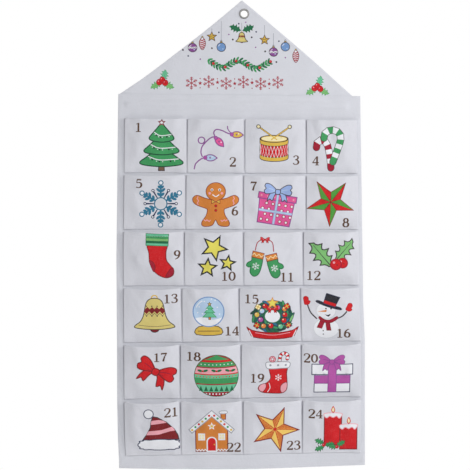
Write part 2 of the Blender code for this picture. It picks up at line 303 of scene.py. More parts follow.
class Numerals:
    """Plain serif numerals, each of a few strokes of varying width. STROKES gives x, y and width at
    each point in hundredths of the height, with ~ before a curved one, and LOOPS gives the middle
    and the two radii of each ring."""

    HEIGHT = 18.0
    WIDE = 1.4
    BOLD = 1.75
    ADVANCE = 0.80
    NINE_WIDTH = 0.54
    THIN, THICK, SIDES = 0.05, 0.07, 24
    STROKES = {
        "0": (),
        "1": ("27 3 11 27 97 11", "27 96 5 20 88 5 10 83 3", "8 2.5 5 46 2.5 5"),
        "2": ("~7 73 10 11 90 6 26 97 5 41 90 8 45 72 12 36 48 10 20 25 6 6 6 5", "4 5 10 46 5 10 50 20 3"),
        "3": (
            "~8 80 9 15 93 6 27 97 5 40 90 8 43 74 11 35 60 7 20 54 4",
            "~20 54 4 38 48 8 46 30 12 42 12 9 27 3 5 13 5 6 5 16 9",
        ),
        "4": ("37 97 5 4 30 5", "2 28 7 52 28 7", "38 97 11 38 3 11", "24 2.5 5 52 2.5 5"),
        "5": ("13 92 10 44 92 10", "13 95 5 10 55 5", "~10 56 5 25 61 6 41 53 10 45 33 12 39 12 9 23 3 5 6 9 8"),
        "6": ("~43 95 4 27 86 7 13 63 11 8.5 34 12",),
        "7": ("5 92 10 48 92 10", "6 95 5 4 76 3", "~46 92 5 31 58 8 19 3 12"),
        "8": (),
    }
    LOOPS = {
        "0": ((0.27, 0.50, 0.205, 0.455),),
        "6": ((0.27, 0.30, 0.185, 0.265),),
        "8": ((0.27, 0.745, 0.155, 0.21), (0.27, 0.285, 0.195, 0.25)),
    }

    def digit(self, name: str) -> Drawing:
        """Draw one digit.

        Args:
            name: The digit.

        Returns:
            Its drawing, with its lower left corner at the origin.
        """
        if name == "9":
            return Drawing().add(self.digit("6"), self.NINE_WIDTH * self.WIDE * self.HEIGHT, self.HEIGHT, 180)
        art = Drawing()
        for text in self.STROKES[name]:
            path = np.array(text.strip("~").split(), float).reshape(-1, 3) / 100
            path = smooth(path, False, 4) if text[0] == "~" else path
            path = path * (self.WIDE, 1.0, self.BOLD) * self.HEIGHT
            art.stroke(path, path[:, 2], BROWN)
        for x, y, rx, ry in self.LOOPS.get(name, ()):
            path = ring(x, y, rx, ry, self.SIDES) * (self.WIDE, 1.0) * self.HEIGHT
            swell = np.abs(ring(0, 0, 1, 1, self.SIDES)[:, 0])
            art.stroke(path, (self.THIN + self.THICK * swell) * self.BOLD * self.HEIGHT, BROWN, True)
        return art

    def number(self, day: int) -> Drawing:
        """Draw a whole number, centred on the origin.

        Args:
            day: The number.

        Returns:
            Its drawing.
        """
        art = Drawing()
        for place, name in enumerate(str(day)):
            shift = self.ADVANCE * self.HEIGHT * (place - len(str(day)) / 2)
            art.add(self.digit(name), shift, -self.HEIGHT / 2)
        return art


class Ornaments:
    """Common ornaments that several pictures are made from, each centred on the origin."""

    def bow(self, ink: Ink, edge: Ink, fold: Ink) -> Drawing:
        """Draw a tied ribbon, about 56 mm wide: two tails, two loops with their folds, and a knot.

        Args:
            ink: The ribbon's ink.
            edge: The ink of its outlines.
            fold: The ink of its folds.

        Returns:
            The drawing.
        """
        side = Drawing().shape("1 0 6 -7 10 -19 15 -15.5 20 -20 17 -7 8 2", ink, edge, steps=3)
        side.shape("1 1 8 9 17 15 25 15.5 27.5 10 24.5 5.5 28 1 25.5 -5 18 -5 8 -2", ink, edge, steps=4)
        side.stroke("4 1 12 4.5 20 6", [1.4] * 10 + [0.5], fold, steps=5).stroke("4 -1 13 -0.5", 0.8, fold)
        return Drawing().both(side).shape("-4 -4 4 -4 4.6 4.4 -4.6 4.4", ink, edge, steps=3)

    def holly_leaf(self, length: float, width: float, ink: Ink, edge: Ink) -> Drawing:
        """Draw a holly leaf that runs right from the origin: a lens whose edge falls away between
        four spikes a side by the square of the distance from them.

        Args:
            length: Its length.
            width: Its width from spike to spike.
            ink: The ink inside it.
            edge: The ink of its line and its rib.

        Returns:
            The drawing.
        """
        share = np.linspace(0, 1, 17)
        spike = np.abs(2 * np.mod(share * 4, 1) - 1) ** 2
        lens = np.sin(math.pi * np.clip(share, 0, 0.97)) ** 0.65
        side = np.column_stack([(share + 0.02 * spike) * length, lens * (0.45 + 0.55 * spike) * width / 2])
        art = Drawing().shape(np.vstack([side, side[-2:0:-1] * (1, -1)]), ink, edge, length * 0.026)
        return art.stroke([(-length * 0.04, 0), (length * 0.90, 0)], [length * 0.035, length * 0.012], edge)

    def berry(self, radius: float) -> Drawing:
        """Draw a round berry with a highlight and a dark eye.

        Args:
            radius: Its radius.

        Returns:
            The drawing.
        """
        art = Drawing().shape(ring(0, 0, radius), RED, CRIMSON, radius * 0.16)
        art.dots((-radius * 0.35, radius * 0.35), radius * 0.22, ROSE, 10)
        return art.dots((radius * 0.25, -radius * 0.1), radius * 0.14, DARK_RED)

    def berried_holly(self) -> Drawing:
        """Three holly leaves round three berries, about 42 mm wide.

        Returns:
            The drawing.
        """
        art = Drawing().add(self.holly_leaf(22, 17, MINT, GREEN), 2, 3, 74)
        art.add(self.holly_leaf(24, 16, LEAF, GREEN), 2, -2, -26).add(self.holly_leaf(24, 16, LEAF, GREEN), -2, -2, 206)
        return art.add(self.berry(6), -6, -1).add(self.berry(6), 6, -2).add(self.berry(5.4), 0, 4.5)

    def cane(self, path: str, width: float, ink: Ink) -> Drawing:
        """Draw a candy cane: an outlined stroke whose stripes take turns along it.

        Args:
            path: Its middle line.
            width: Its width.
            ink: The ink that takes turns with white.

        Returns:
            The drawing.
        """
        line = spaced(traced(path, False, 6), width * 0.78)
        art = Drawing().stroke(line, width + 2.0, LINE).dots(line[[0, -1]], width / 2 + 1.0, LINE, 20)
        return art.dots(line[[0, -1]], width / 2, ink, 20).stroke(line, width, [ink, WHITE])

    def ball(self, ink: Ink, band: Ink | None = None) -> Drawing:
        """Draw a hanging glass ball of 17 mm with its cap and a highlight.

        Args:
            ink: Its ink.
            band: The ink of its band, if it has one.

        Returns:
            The drawing.
        """
        art = Drawing().shape("-2 8 2 8 1.6 11 -1.6 11", GOLD, LINE, 0.7)
        art.stroke(ring(0, 12.4, 1.4, steps=10), 0.7, LINE, True).shape(ring(0, 0, 8.6), ink, LINE, 0.9)
        if band:
            art.fill("-8 -2.2 8 -1.2 8 1.8 -8 1.2", band).stroke("-7 0 -3.5 -1.4 0 1 3.5 -0.8 7 0.6", 0.8, LINE)
        return art.stroke(arc(0, 0, 5.6, 5.6, 110, 165, 6), 1.1, WHITE).dots("3.2 -3.6", 1.3, PALE_BLUE)

    def drop(self) -> Drawing:
        """A hanging striped drop of 12 by 25 mm.

        Returns:
            The drawing.
        """
        art = Drawing().shape(mirrored("0 12 3.2 9 5.8 3 5.6 -4 3 -10 0 -12.5"), WHITE, DARK_RED, 1.0, 3)
        for low, half in ((7, 3.6), (3.2, 5), (-0.6, 5.3), (-4.4, 4.6), (-8, 3.2)):
            art.stroke([(-half, low - 0.6), (0, low - 1.4), (half, low + 0.6)], 2.2, CRIMSON)
        return art.shape("-1.6 11.5 1.6 11.5 1.3 14 -1.3 14", GOLD, LINE, 0.6)

    def flake(self, radius: float, ink: Ink) -> Drawing:
        """Draw a plain six-armed snowflake of strokes, each arm with two pairs of twigs.

        Args:
            radius: Its radius.
            ink: Its ink.

        Returns:
            The drawing.
        """
        arm = Drawing().stroke([(0, 0), (0, radius)], radius * 0.11, ink)
        for height, reach in ((0.45, 0.24), (0.72, 0.176)):
            twig = np.array([(0, height), (reach, height + reach)]) * radius
            arm.both(Drawing().stroke(twig, radius * 0.09, ink))
        art = Drawing()
        for turn in range(0, 360, 60):
            art.add(arm, turn=turn)
        return art

    def bell(self, line: float = 1.2) -> Drawing:
        """Draw a bell with a zigzag band, 76 mm wide and 71 mm high.

        Args:
            line: The width of its outline.

        Returns:
            The drawing.
        """
        art = Drawing().stroke(ring(0, 32, 5.5, 4.5, 20), 2.4, GOLD, True).shape(ring(0, -31, 8.5, 7), DARK_RED)
        side = mirrored("0 31 9 29 15.5 22 19 8 22 -6 28 -17 37 -24 37.5 -28.5 20 -31.5 0 -32.5")
        art.shape(side, BRASS, LINE, line, 4)
        teeth = [(x, -1.5 if at % 2 else 4.0) for at, x in enumerate(np.linspace(-20.4, 20.4, 9))]
        upper = [(x, 13 if at % 2 else 8.5) for at, x in enumerate(np.linspace(18.2, -18.2, 9))]
        art.fill(teeth + upper, DARK_RED).stroke(np.array(teeth) - (0, 3.4), 0.9, LINE)
        for height in (14.6, -5.4):
            art.dots([(x, height) for x in np.linspace(-15.3, 15.3, 4)], 1.3, LINE)
        art.stroke("-31 -23.5 0 -26.5 31 -23.5", 0.8, BROWN, steps=5)
        return art.stroke("-18.4 11 -18.9 8 -20.6 0.5", 0.8, LINE)


class PocketPrints(Ornaments):
    """The prints of the pockets: a number and a picture on each face, in the order of PICTURES.
    MIDDLES gives, day by day, where the middle of the number and that of the picture lie on the flat
    cut, in millimetres from the eyelet."""

    MIDDLES = (
        (-209, -224, -164, -259), (-24, -291, -55, -263), (101, -287, 57, -257), (140, -288, 171, -265),
        (-207, -333, -165, -373), (-20, -387, -58, -374), (17, -338, 61, -373), (199, -410, 168, -369),
        (-132, -473, -172, -475), (-33, -515, -55, -475), (82, -517, 38, -478), (134, -514, 171, -474),
        (-145, -557, -177, -586), (-28, -622, -73, -591), (11, -558, 51, -598), (190, -628, 160, -590),
        (-166, -670, -175, -705), (-103, -669, -59, -708), (20, -714, 56, -705), (124, -675, 166, -704),
        (-146, -778, -170, -814), (-26, -850, -69, -816), (91, -848, 54, -814), (133, -784, 169, -816),
    )

    def face(self, day: int, left: float, bottom: float) -> Drawing:
        """Lay out the print of one face.

        Args:
            day: The pocket's number.
            left: Where the face's left crease hangs, in metres.
            bottom: The height of its bottom seam.

        Returns:
            The drawing, measured from the face's lower left corner.
        """
        number, picture = np.reshape(self.MIDDLES[day - 1], (2, 2)) - np.array([left, bottom]) / MM
        art = Drawing().add(self.PICTURES[day - 1](self), *picture)
        return art.add(Numerals().number(day), *number)

    def tree(self) -> Drawing:
        """A fir in three tiers, with garlands, balls and a star, 80 by 94 mm.

        Returns:
            The drawing.
        """
        art = Drawing().shape("-6 -50 6 -50 5 -38 -5 -38", BARK)
        for top, low, half in ((-6, -37, 42), (18, -14, 34), (41, 11, 24)):
            side = [(0, top + 3), (half * 0.30, top - 5), (half * 0.72, low + 13), (half, low + 4)]
            side += [(half * 0.90, low - 1), (half * 0.45, low - 4), (0, low - 5)]
            art.shape(mirrored(side), GREEN, PINE, 1.5, 4)
            swag = smooth([(-half * 0.62, low + 15), (-half * 0.1, low + 8), (half * 0.80, low + 10)], False)
            art.stroke(swag, 1.7, WHITE)
            hung = swag[np.round(np.linspace(0.10, 0.90, 7) * (len(swag) - 1)).astype(int)] - (0, 3.2)
            art.dots(hung[::2], 1.0, WHITE).dots(hung[1::2], 1.8, BLACK)
        return art.shape(star(0, 45, 6.2, 2.9), WHITE, DARK_RED, 1.3)

    def lights(self) -> Drawing:
        """A cord of three coloured bulbs with a loop in it, 94 by 85 mm.

        Returns:
            The drawing.
        """
        art = Drawing().stroke("-45 -43 -42 -32 -32 -23 -24 -20", 2.4, PURPLE, steps=6)
        art.stroke("-29 -19 -32 -10 -30 1 -24 9 -16 17 -8 21 -3 19", 2.4, PURPLE, steps=5)
        art.stroke("-5 22 -7 30 -2 36 9 34 19 29 28 26", 2.4, PURPLE, steps=5)
        art.stroke("20 43 21 36 27 28", 2.0, PURPLE, steps=5).stroke(ring(-31, 14, 6.4), 2.3, PURPLE, True)
        for x, y, turn, ink in ((-25, -20, -2, PALE_BLUE), (-4, 20, -48, PINK), (27, 26, -4, GOLD)):
            bulb = Drawing().shape("3 -3 9 -6 17 -5.2 24 -0.5 24 0.5 17 5.2 9 6 3 3", ink, PURPLE, 1.4, 3)
            bulb.shape(ring(1.5, 0, 3.4, 3.6, 14), VIOLET, PURPLE, 1.0)
            art.add(bulb.dots("11 0", 1.7, PURPLE).dots("15 2", 1.3, WHITE), x, y, turn)
        return art

    def drum(self) -> Drawing:
        """A laced drum with two sticks, 64 by 76 mm.

        Returns:
            The drawing.
        """
        stick = Drawing().stroke("31 36 -6 10", 3.6, LINE).stroke("31 36 -6 10", 2.2, GOLD)
        art = Drawing().both(stick.shape(ring(31, 36, 3.6, steps=14), CREAM))
        art.shape(np.vstack([arc(0, -26, 28, 7, 180, 360), [(28, 12), (-28, 12)]]), RED)
        for high, low in ((12, 4), (-18, -26)):
            art.shape(np.vstack([arc(0, low, 28, 7, 180, 360), arc(0, high, 28, 7, 360, 180)]), GOLD, LINE, 0.9)
        for first in (0, 1):
            lace = arc(0, 3.5, 28, 7, 186, 354, 13)
            lace[1 - first :: 2, 1] -= 22
            art.stroke(lace, 1.2, WHITE)
        art.shape(ring(0, 12, 28, 7), BLACK).shape(ring(0, 12, 25.5, 5.6), CREAM, GOLD, 0.8)
        return art.both(Drawing().stroke("-6 10 12 22.5", 2.2, GOLD))

    def canes(self) -> Drawing:
        """Two crossed candy canes, 62 by 88 mm."""
        red = self.cane("-30 3 -28 13 -20 18 -12 15 -7 5 -4 -10 -2 -24 -1 -37", 12.4, CRIMSON)
        return red.add(self.cane("-15 22 -12 33 -1 38.5 11 36 18 27 17 14 10 -6 3 -25", 12.4, GREEN))

    def snowflake(self) -> Drawing:
        """A leafy six-armed snowflake, 84 mm across.

        Returns:
            The drawing.
        """
        arm = Drawing().stroke("0 8 0 33", 3.2, TEAL)
        for height, long in ((14, 8.5), (21, 10.5), (28, 7.0)):
            arm.both(Drawing().fill(turned(ring(long / 2, 0, long / 2, 2.5, 12), 42, 0, height), TEAL))
        arm.fill("-3 31 3 31 0 36", TEAL).shape(ring(0, 38, 3.9, steps=16), WHITE, TEAL, 1.3)
        spoke = Drawing().stroke("0 12 0 25", [1.8, 2.8], NAVY).shape(ring(0, 27.5, 2.2, steps=10), WHITE, NAVY, 1.0)
        art = Drawing()
        for turn in range(0, 360, 60):
            art.add(spoke, turn=turn + 30).add(arm, turn=turn)
        return Drawing().add(art.shape(ring(0, 0, 11), PALE_GREY, TEAL, 1.4), size=1.1)

    def cookie(self) -> Drawing:
        """A gingerbread biscuit in the shape of a man, 88 by 86 mm.

        Returns:
            The drawing.
        """
        side = "0 10 9 9 22 12 36 17 44 12 43 4 35 -2 24 -6 16 -10 18 -22 26 -35 25 -42 15 -43 6 -40 0 -30"
        body, head = smooth(mirrored(side), steps=4), ring(0, 25.5, 18.5, 17.5, 32)
        art = Drawing().stroke(body, 2.6, DARK_RED, True).stroke(head, 2.6, DARK_RED, True)
        art.fill(body, GINGER).fill(head, GINGER)
        half = Drawing().dots("7.5 29", 2.8, WHITE, 12).dots("7.5 28.6", 1.6, BLACK).dots("12 22", 2.6, ROSE, 10)
        half.stroke("34.5 15.5 36.5 11 33.5 7 36 2 34 -1", 1.5, ROSE)
        half.stroke("23.5 -30 19.5 -33 17 -30.5 12.5 -34 10 -31", 1.5, ROSE)
        art.both(half.shape("0.5 5 8 9.5 8 1.5", GOLD, DARK_RED, 0.8))
        art.stroke("-6.5 19.5 0 15.5 6.5 19.5", 1.9, WHITE, steps=5)
        for low in (-3, -12):
            art.shape(ring(0, low, 2.4, steps=12), RED, DARK_RED, 0.7)
        return art

    def gift(self) -> Drawing:
        """A tilted pink parcel with white spots and a pale blue bow, 84 by 83 mm.

        Returns:
            The drawing.
        """
        art = Drawing().shape("-32 -39 32 -39 35 12 -35 12", PINK, PURPLE, 1.3)
        spots = lattice((-32, -38), (33, 11), 12.5)
        spots = spots[np.abs(spots[:, 0]) > 5]
        art.dots(spots, 3.6, CRIMSON, 12).dots(spots, 2.3, WHITE, 10)
        art.shape("-38 9 38 9 38 21 -38 21", PINK, PURPLE, 1.3)
        art.dots([(x, 15) for x in np.linspace(-32, 32, 6)], 1.9, ROSE, 10)
        for path in ("0 -38.4 0 20.4", "-33 -14 33 -14"):
            art.stroke(path, 5.0, BLUE).stroke(path, 3.4, PALE_BLUE)
        return Drawing().add(art, 0, -2, -9).add(self.bow(SKY, LINE, PALE_BLUE), 3, 24, -5, 0.98)

    def split_star(self) -> Drawing:
        """A five-pointed star, point down, each arm half red and half green, 90 mm across.

        Returns:
            The drawing.
        """
        points = star(0, 0, 48.5, 20, -92)
        art = Drawing()
        for at in range(10):
            art.shape([(0, 0), points[at], points[(at + 1) % 10]], (GRASS, RED)[at % 2], DARK_RED, 0.7)
        return art.stroke(points, 1.2, DARK_RED, True)

    def striped_stocking(self) -> Drawing:
        """A red stocking with a striped green cuff, 62 by 92 mm.

        Returns:
            The drawing.
        """
        leg = "-17 26 18 24 18 8 19 -8 27 -19 33 -28 31 -38 20 -43 8 -40 -4 -31 -13 -14 -15 6"
        art = Drawing().shape(leg, RED, DARK_RED, 1.2, 4)
        art.shape("17 -41.5 22 -31 30 -22.5 33 -29 30 -38 21 -42.5", CRIMSON, DARK_RED, 0.9, 3)
        art.shape("-14.5 -8 -6 -13 -3 -22 -6 -31 -12 -18", CRIMSON, DARK_RED, 0.9, 3)
        for at, ink in enumerate((MINT, DARK_GREEN, LEAF, GREEN, MINT)):
            low = 22 + at * 4.8
            art.fill([(-21, low), (22, low - 2), (23, low + 2.8), (-21, low + 4.8)], ink)
        return art.stroke("-21 22 22 20 23 44 -21 46", 1.0, DARK_GREEN, True)

    def three_stars(self) -> Drawing:
        """Three yellow stars with thick black lines.

        Returns:
            The drawing.
        """
        art = Drawing()
        for x, y, size, turn in ((-6, 17, 25.5, 64), (-19, -23, 18, 85), (20, -14, 15, 80)):
            art.shape(star(x, y, size, size * 0.45, turn), YELLOW, BLACK, 2.0)
        return art

    def mittens(self) -> Drawing:
        """A pair of green mittens on a cord, 66 by 80 mm.

        Returns:
            The drawing.
        """
        hand = "-10 -12 10 -12 11 -3 18 3 19 10 13 12 10 9 9 22 0 29 -9 23 -12 6"
        mitten = Drawing().shape(hand, GREEN, DARK_GREEN, 1.3, 4)
        mitten.shape("-12 -24 12 -24 12 -11 -12 -11", ORANGE, DARK_RED, 1.1)
        mitten.stroke("-12 -20 -7 -15 -2 -20 3 -15 8 -20 12 -15", 1.4, CREAM).add(self.flake(8, WHITE), 0, 7)
        art = Drawing().stroke("-19 14 -14 31 0 37 14 31 17 12", 1.8, CRIMSON, steps=5)
        art.add(self.bow(RED, DARK_RED, ROSE), 0, 36, 0, 0.34)
        return art.add(mitten, -17, -11, 168, 0.92).add(mitten.flipped(), 17, -15, -166, 0.92)

    def holly(self) -> Drawing:
        """Two holly leaves and two berries, 84 by 60 mm.

        Returns:
            The drawing.
        """
        art = Drawing().add(self.holly_leaf(63, 38, LEAF, LINE), -2, -23, 130)
        art.add(self.holly_leaf(53, 32, LEAF, LINE), 6, -10, 50)
        return art.add(self.berry(9.7), 19.5, -15.5).add(self.berry(10.6), 6.2, -18)

    def snow_globe(self) -> Drawing:
        """A snow globe on a gold foot, 62 by 78 mm.

        Returns:
            The drawing.
        """
        art = Drawing().shape("-24 -38 24 -38 19 -22 -19 -22", GOLD, steps=3).stroke("-21 -31 21 -31", 1.4, BROWN)
        art.shape(ring(0, 8, 30, 30, 40), PALE_BLUE, BLUE, 1.5)
        art.fill(np.vstack([arc(0, 8, 29, 29, 205, 335), traced("26 -4 8 -8 -10 -3 -26 -5", False, 4)]), WHITE)
        for low, half in ((-3, 13), (6, 10), (14, 7)):
            art.shape([(2 - half, low), (2 + half, low), (2, low + half * 1.15)], MINT, GREEN, 0.9)
        art.shape("0 -8 4 -8 4 -3 0 -3", GINGER, BROWN, 0.7).shape(star(2, 23.5, 4, 1.8), GOLD, BROWN, 0.6)
        art.dots("-18 18 -12 4 -8 29 17 17 21 3 13 31 -21 6 6 34 -3 13", 1.4, WHITE)
        return art.stroke(arc(0, 8, 25, 25, 118, 160), 2.0, WHITE)

    def wreath(self) -> Drawing:
        """A dressed wreath over a red ribbon, 98 by 82 mm.

        Returns:
            The drawing.
        """
        art = Drawing().fill(ring(0, 5, 40, 33, 40), DARK_GREEN)
        for at in range(40):
            leaf = turned(ring(0, 0, 8.5, 2.6, 10), at * 9 + 50 + 20 * (at % 2))
            middle = turned([((32, 25, 19)[at % 3], 0)], at * 9)[0] * (1.18, 0.92) + (0, 5)
            art.shape(leaf + middle, (DARK_GREEN, GREEN, TEAL, PINE, LEAF)[at % 5], NAVY, 0.7)
        art.shape(ring(0, 5, 15.5, 13, 28), WHITE, DARK_GREEN, 1.0)
        inks = (RED, ORANGE, PINK, RED, PALE_BLUE, GOLD, VIOLET, ORANGE, RED, MINT, RED)
        for at, (angle, ink) in enumerate(zip((8, 38, 66, 118, 146, 172, 200, 234, 262, 300, 334), inks)):
            x, y = turned([(26 if at % 2 else 21, 0)], angle)[0] * (1.18, 0.92) + (0, 5)
            art.shape(ring(x, y, 5.2, steps=14), ink, LINE, 0.8).dots((x - 1.8, y + 1.8), 1.4, CREAM)
        for x, y, ink in ((-31, -13, RED), (31, -13, CRIMSON), (-28, 24, CREAM), (29, 25, RED)):
            parcel = Drawing().shape("-5 -5 5 -5 5 5 -5 5", ink, LINE, 0.8)
            art.add(parcel.stroke("0 -5 0 5", 1.6, GOLD).stroke("-5 0 5 0", 1.6, GOLD), x, y, x)
        art.add(self.bow(RED, DARK_RED, ROSE), 0, 20, 0, 0.42).shape(star(0, 32, 11, 5), YELLOW, ORANGE, 1.0)
        ribbon = "-50 -17 -40 -23 -20 -27 0 -28 20 -27 40 -23 50 -17 45 -27 37 -37 0 -41 -37 -37 -45 -27"
        art.shape(ribbon, RED, DARK_RED, 1.2, 3).both(Drawing().stroke("39 -37 43 -29 46 -23", 1.6, WHITE, steps=5))
        return art.stroke("-34 -28 0 -33 34 -28", 1.2, ROSE, steps=5)

    def snowman(self) -> Drawing:
        """A snowman in a tall hat who holds up his mittens, 98 by 92 mm.

        Returns:
            The drawing.
        """
        art = Drawing().shape(ring(-4, -28, 25, 20, 32), WHITE, PALE_GREY, 1.0)
        art.stroke("-22 -9 -34 4 -40 20", 2.6, LINE, steps=5).stroke("12 -10 27 -4 37 6", 2.6, LINE, steps=5)
        mitten = Drawing().shape("-5 -8 5 -8 10 -1 6 2 6 9 0 13 -6 9 -6 0", RED, CRIMSON, 0.9, 3)
        art.add(mitten, -42, 26, 8, 0.78).add(mitten, 41, 13, -30, 0.78)
        art.shape(ring(-4, 8, 19, 16, 30), WHITE, PALE_GREY, 1.0).dots("-4 12 6 12", 1.7, BLACK, 10)
        art.shape("-3 9 -4 5.5 -20 6", ORANGE, GINGER, 0.8).fill("-7 1.5 -2 -1 5 1 0 -4.5", BLACK, 3)
        art.shape("-14 -10 -6 -12 -13 -28 -22 -26", CRIMSON, DARK_RED, 1.0)
        art.shape("-5 -13 2 -13 5 -32 -3 -32", CRIMSON, DARK_RED, 1.0)
        art.shape("-16 -4 -8 -10 4 -11 17 -4 18 -9 4 -17 -10 -15 -18 -8", CRIMSON, DARK_RED, 1.0, 3)
        art.dots("-10 -33 -10 -40", 1.3, BLACK)
        hat = Drawing().shape("-24 -2 0 -4 26 -2 23 2.5 0 1 -21 2.5", BLACK, NAVY, 0.9, 3)
        hat.shape("-10 0 14 0 17 22 -11 22", BLACK, NAVY, 0.9).fill("-10 1 14.2 1 15 7 -10.3 7", RED)
        return art.add(hat, 0.5, 19.5, -19)

    def red_bow(self) -> Drawing:
        """A large red bow, 80 by 62 mm."""
        return Drawing().add(self.bow(RED, DARK_RED, CRIMSON), -1, 5, -26, 1.36)

    def bauble(self) -> Drawing:
        """A ball in knitted bands, 78 by 76 mm: each band is cut from the circle by two level arcs
        that sag in the middle.

        Returns:
            The drawing.
        """
        radius = 38.0

        def sagging(level: float, x: Points) -> Points:
            """The arc at a level, at places across: lower by a parabola whose middle is 2.4 down."""
            return np.column_stack([x, level - 2.4 * (1 - (x / radius) ** 2) * (abs(level) < radius - 0.1)])

        def spread(level: float, count: int, less: float = 0) -> Points:
            """Places across a level of the circle, from near one side of it to near the other."""
            half = math.sqrt(max(radius**2 - level**2, 0.01)) - less
            return np.linspace(-half, half, count)

        art = Drawing().fill(ring(0, 0, radius + 0.9, steps=48), CRIMSON)
        levels = (38, 31, 27, 18, 16, 5, 3, -3, -13, -15, -28, -38)
        inks = (GREEN, RED, GREEN, CRIMSON, ROSE, RED, MINT, GREEN, CRIMSON, MINT, CRIMSON)
        for high, low, ink in zip(levels, levels[1:], inks):
            art.fill(np.vstack([sagging(low, spread(low, 13)), sagging(high, spread(high, 13))[::-1]]), ink)
        for level, count, size, ink in ((22.5, 9, 1.1, WHITE), (-0.5, 13, 1.2, RED), (-31.5, 7, 1.5, WHITE)):
            art.dots(sagging(level, spread(level, count, 4)), size, ink)
        for foot in sagging(-26.5, np.linspace(-27, 27, 7)):
            art.fill(foot + traced("-3.6 0 3.6 0 0 9.5"), DARK_GREEN)
        for x in (-24, 0, 24):
            leaf = Drawing().fill(turned(ring(5, 0, 4.6, 2.2, 12), 18), DARK_GREEN)
            art.add(Drawing().both(leaf).dots("0 0.6", 1.7, RED), x, 7.6)
        art.stroke(ring(0, 0, radius + 0.4, steps=48), 1.2, DARK_GREEN, True)
        return Drawing().add(art, size=1.11)

    def stocking(self) -> Drawing:
        """A red stocking with a spotted white cuff and a candy cane in it, 74 by 88 mm.

        Returns:
            The drawing.
        """
        art = self.cane("4 14 7 28 9 38 16 42 23 37 22 30", 5.4, RED)
        leg = "-12 14 20 14 21 0 22 -18 21 -33 12 -40 -8 -40 -26 -38 -34 -31 -30 -23 -18 -19 -10 -8"
        art.shape(leg, RED, DARK_RED, 1.2, 4)
        art.shape("-26 -37.5 -19 -29 -20 -20.5 -30 -23 -33.5 -31", ROSE, DARK_RED, 0.9, 3)
        art.shape("21.5 -18 11 -23 9 -33 13 -39.5 21 -33", ROSE, DARK_RED, 0.9, 3)
        art.stroke("-16 -38 -11 -29 -13 -19", 1.3, WHITE, steps=5).add(self.flake(7, WHITE), 5, -8)
        art.shape("-18 12 -6 10 10 11 25 12 27 22 12 24.5 -6 24 -19 23", WHITE, GREY, 1.1, 4)
        art.dots("-11 17.5 4 17.5 19 17.5", 2.2, GREY, 10).shape(ring(-7, 30, 6, steps=16), ROSE, CRIMSON, 0.9)
        return art.shape(star(-7, 30, 4.2, 1.9), WHITE, CRIMSON, 0.5)

    def box(self) -> Drawing:
        """A white box with a wide purple ribbon and bow, 82 by 84 mm.

        Returns:
            The drawing.
        """
        art = Drawing().shape("-35 -40 35 -40 35 8 -35 8", WHITE, NAVY, 1.2)
        art.shape("-35 -22 35 -22 35 -6 -35 -6", VIOLET, PURPLE).shape("-40 -4 40 -4 40 17 -40 17", WHITE, NAVY, 1.2)
        art.shape("-8 -40 8 -40 8 18 -8 18", VIOLET, PURPLE)
        return art.add(self.bow(VIOLET, PURPLE, PURPLE), -1, 22, 0, 0.9)

    def hat(self) -> Drawing:
        """A striped pointed hat with a white brim and bobble, 84 by 84 mm. The brim is an ellipse
        squared by a power of its cosine and sine, with twelve small waves.

        Returns:
            The drawing.
        """
        cone = "-32 -19 -24 -8 -17 6 -15 20 -12 29 -3 27 14 17 29 2 36 -10 38 -19"
        art = Drawing().shape(cone, DARK_RED, LINE, 1.3)
        art.fill("-15 20 -16 12 0 14 15 16 8 20.5 -1 22", ROSE)
        art.fill("-20.5 -1 -25 -9 0 -8 21 -2 31 -1 25 7 5 1", ROSE)
        art.shape(ring(-20, 34, 9.2, steps=24), WHITE, NAVY, 1.2)
        unit = ring(0, 0, 1, steps=72)
        wobble = 1 + 0.045 * np.cos(12 * np.radians(np.arange(0, 360, 5)))[:, None]
        brim = np.sign(unit) * np.abs(unit) ** 0.55 * (40, 10.5) * wobble - (0, 29)
        return art.shape(brim, WHITE, NAVY, 1.3)

    def house(self) -> Drawing:
        """A gingerbread house with an iced roof, 86 by 86 mm.

        Returns:
            The drawing.
        """
        art = Drawing().shape("18 24 27 24 27 38 18 38", GINGER, DARK_RED)
        art.shape("16 36 29 36 29 41 16 41", WHITE, GREY, 0.9, 3)
        art.shape("-31 -42 31 -42 31 2 0 32 -31 2", GINGER, DARK_RED, 1.3)
        art.shape("0 43 44 2 38 -5 0 30 -38 -5 -44 2", WHITE, GREY, 1.2)
        side = Drawing()
        for at, share in enumerate(np.linspace(0.12, 0.92, 6)):
            side.dots((41 * share, 36.5 - 38 * share), 2.3, (RED, GREEN, GOLD)[at % 3], 10)
        side.shape("14 -18 25 -18 25 -6 14 -6", CREAM, WHITE, 1.6)
        art.both(side.stroke("19.5 -18 19.5 -6", 1.1, WHITE).stroke("14 -12 25 -12", 1.1, WHITE))
        art.shape(np.vstack([[(-9, -42), (9, -42)], arc(0, -22, 9, 9, 0, 180, 10)]), RED, WHITE, 1.8)
        art.dots("5 -28", 1.5, GOLD).shape(star(0, 10, 6.5, 2.9), GOLD, WHITE, 1.0)
        snow = [(x, -41 if at % 2 else -38) for at, x in enumerate(np.linspace(31, 10, 8))]
        return art.both(Drawing().stroke(snow, 1.8, WHITE))

    def faceted_star(self) -> Drawing:
        """A gold star whose arms have a plain half and a hatched half, 90 mm across.

        Returns:
            The drawing.
        """
        points = star(0, 0, 47, 20, 68)
        art = Drawing()
        for at in range(10):
            first, second = points[at], points[(at + 1) % 10]
            art.fill([(0, 0), first, second], (APRICOT, AMBER)[at % 2])
            for share in np.linspace(0.30, 0.94, 6) if at % 2 == 0 else ():
                art.stroke([first * share, second * share], [0.9, 1.6], RUST)
        for point in points:
            art.stroke([(0, 0), point], [1.6, 0.9], RUST)
        return art.stroke(points, 2.0, DARK_RED, True).dots("0 0", 3.0, RED, 12)

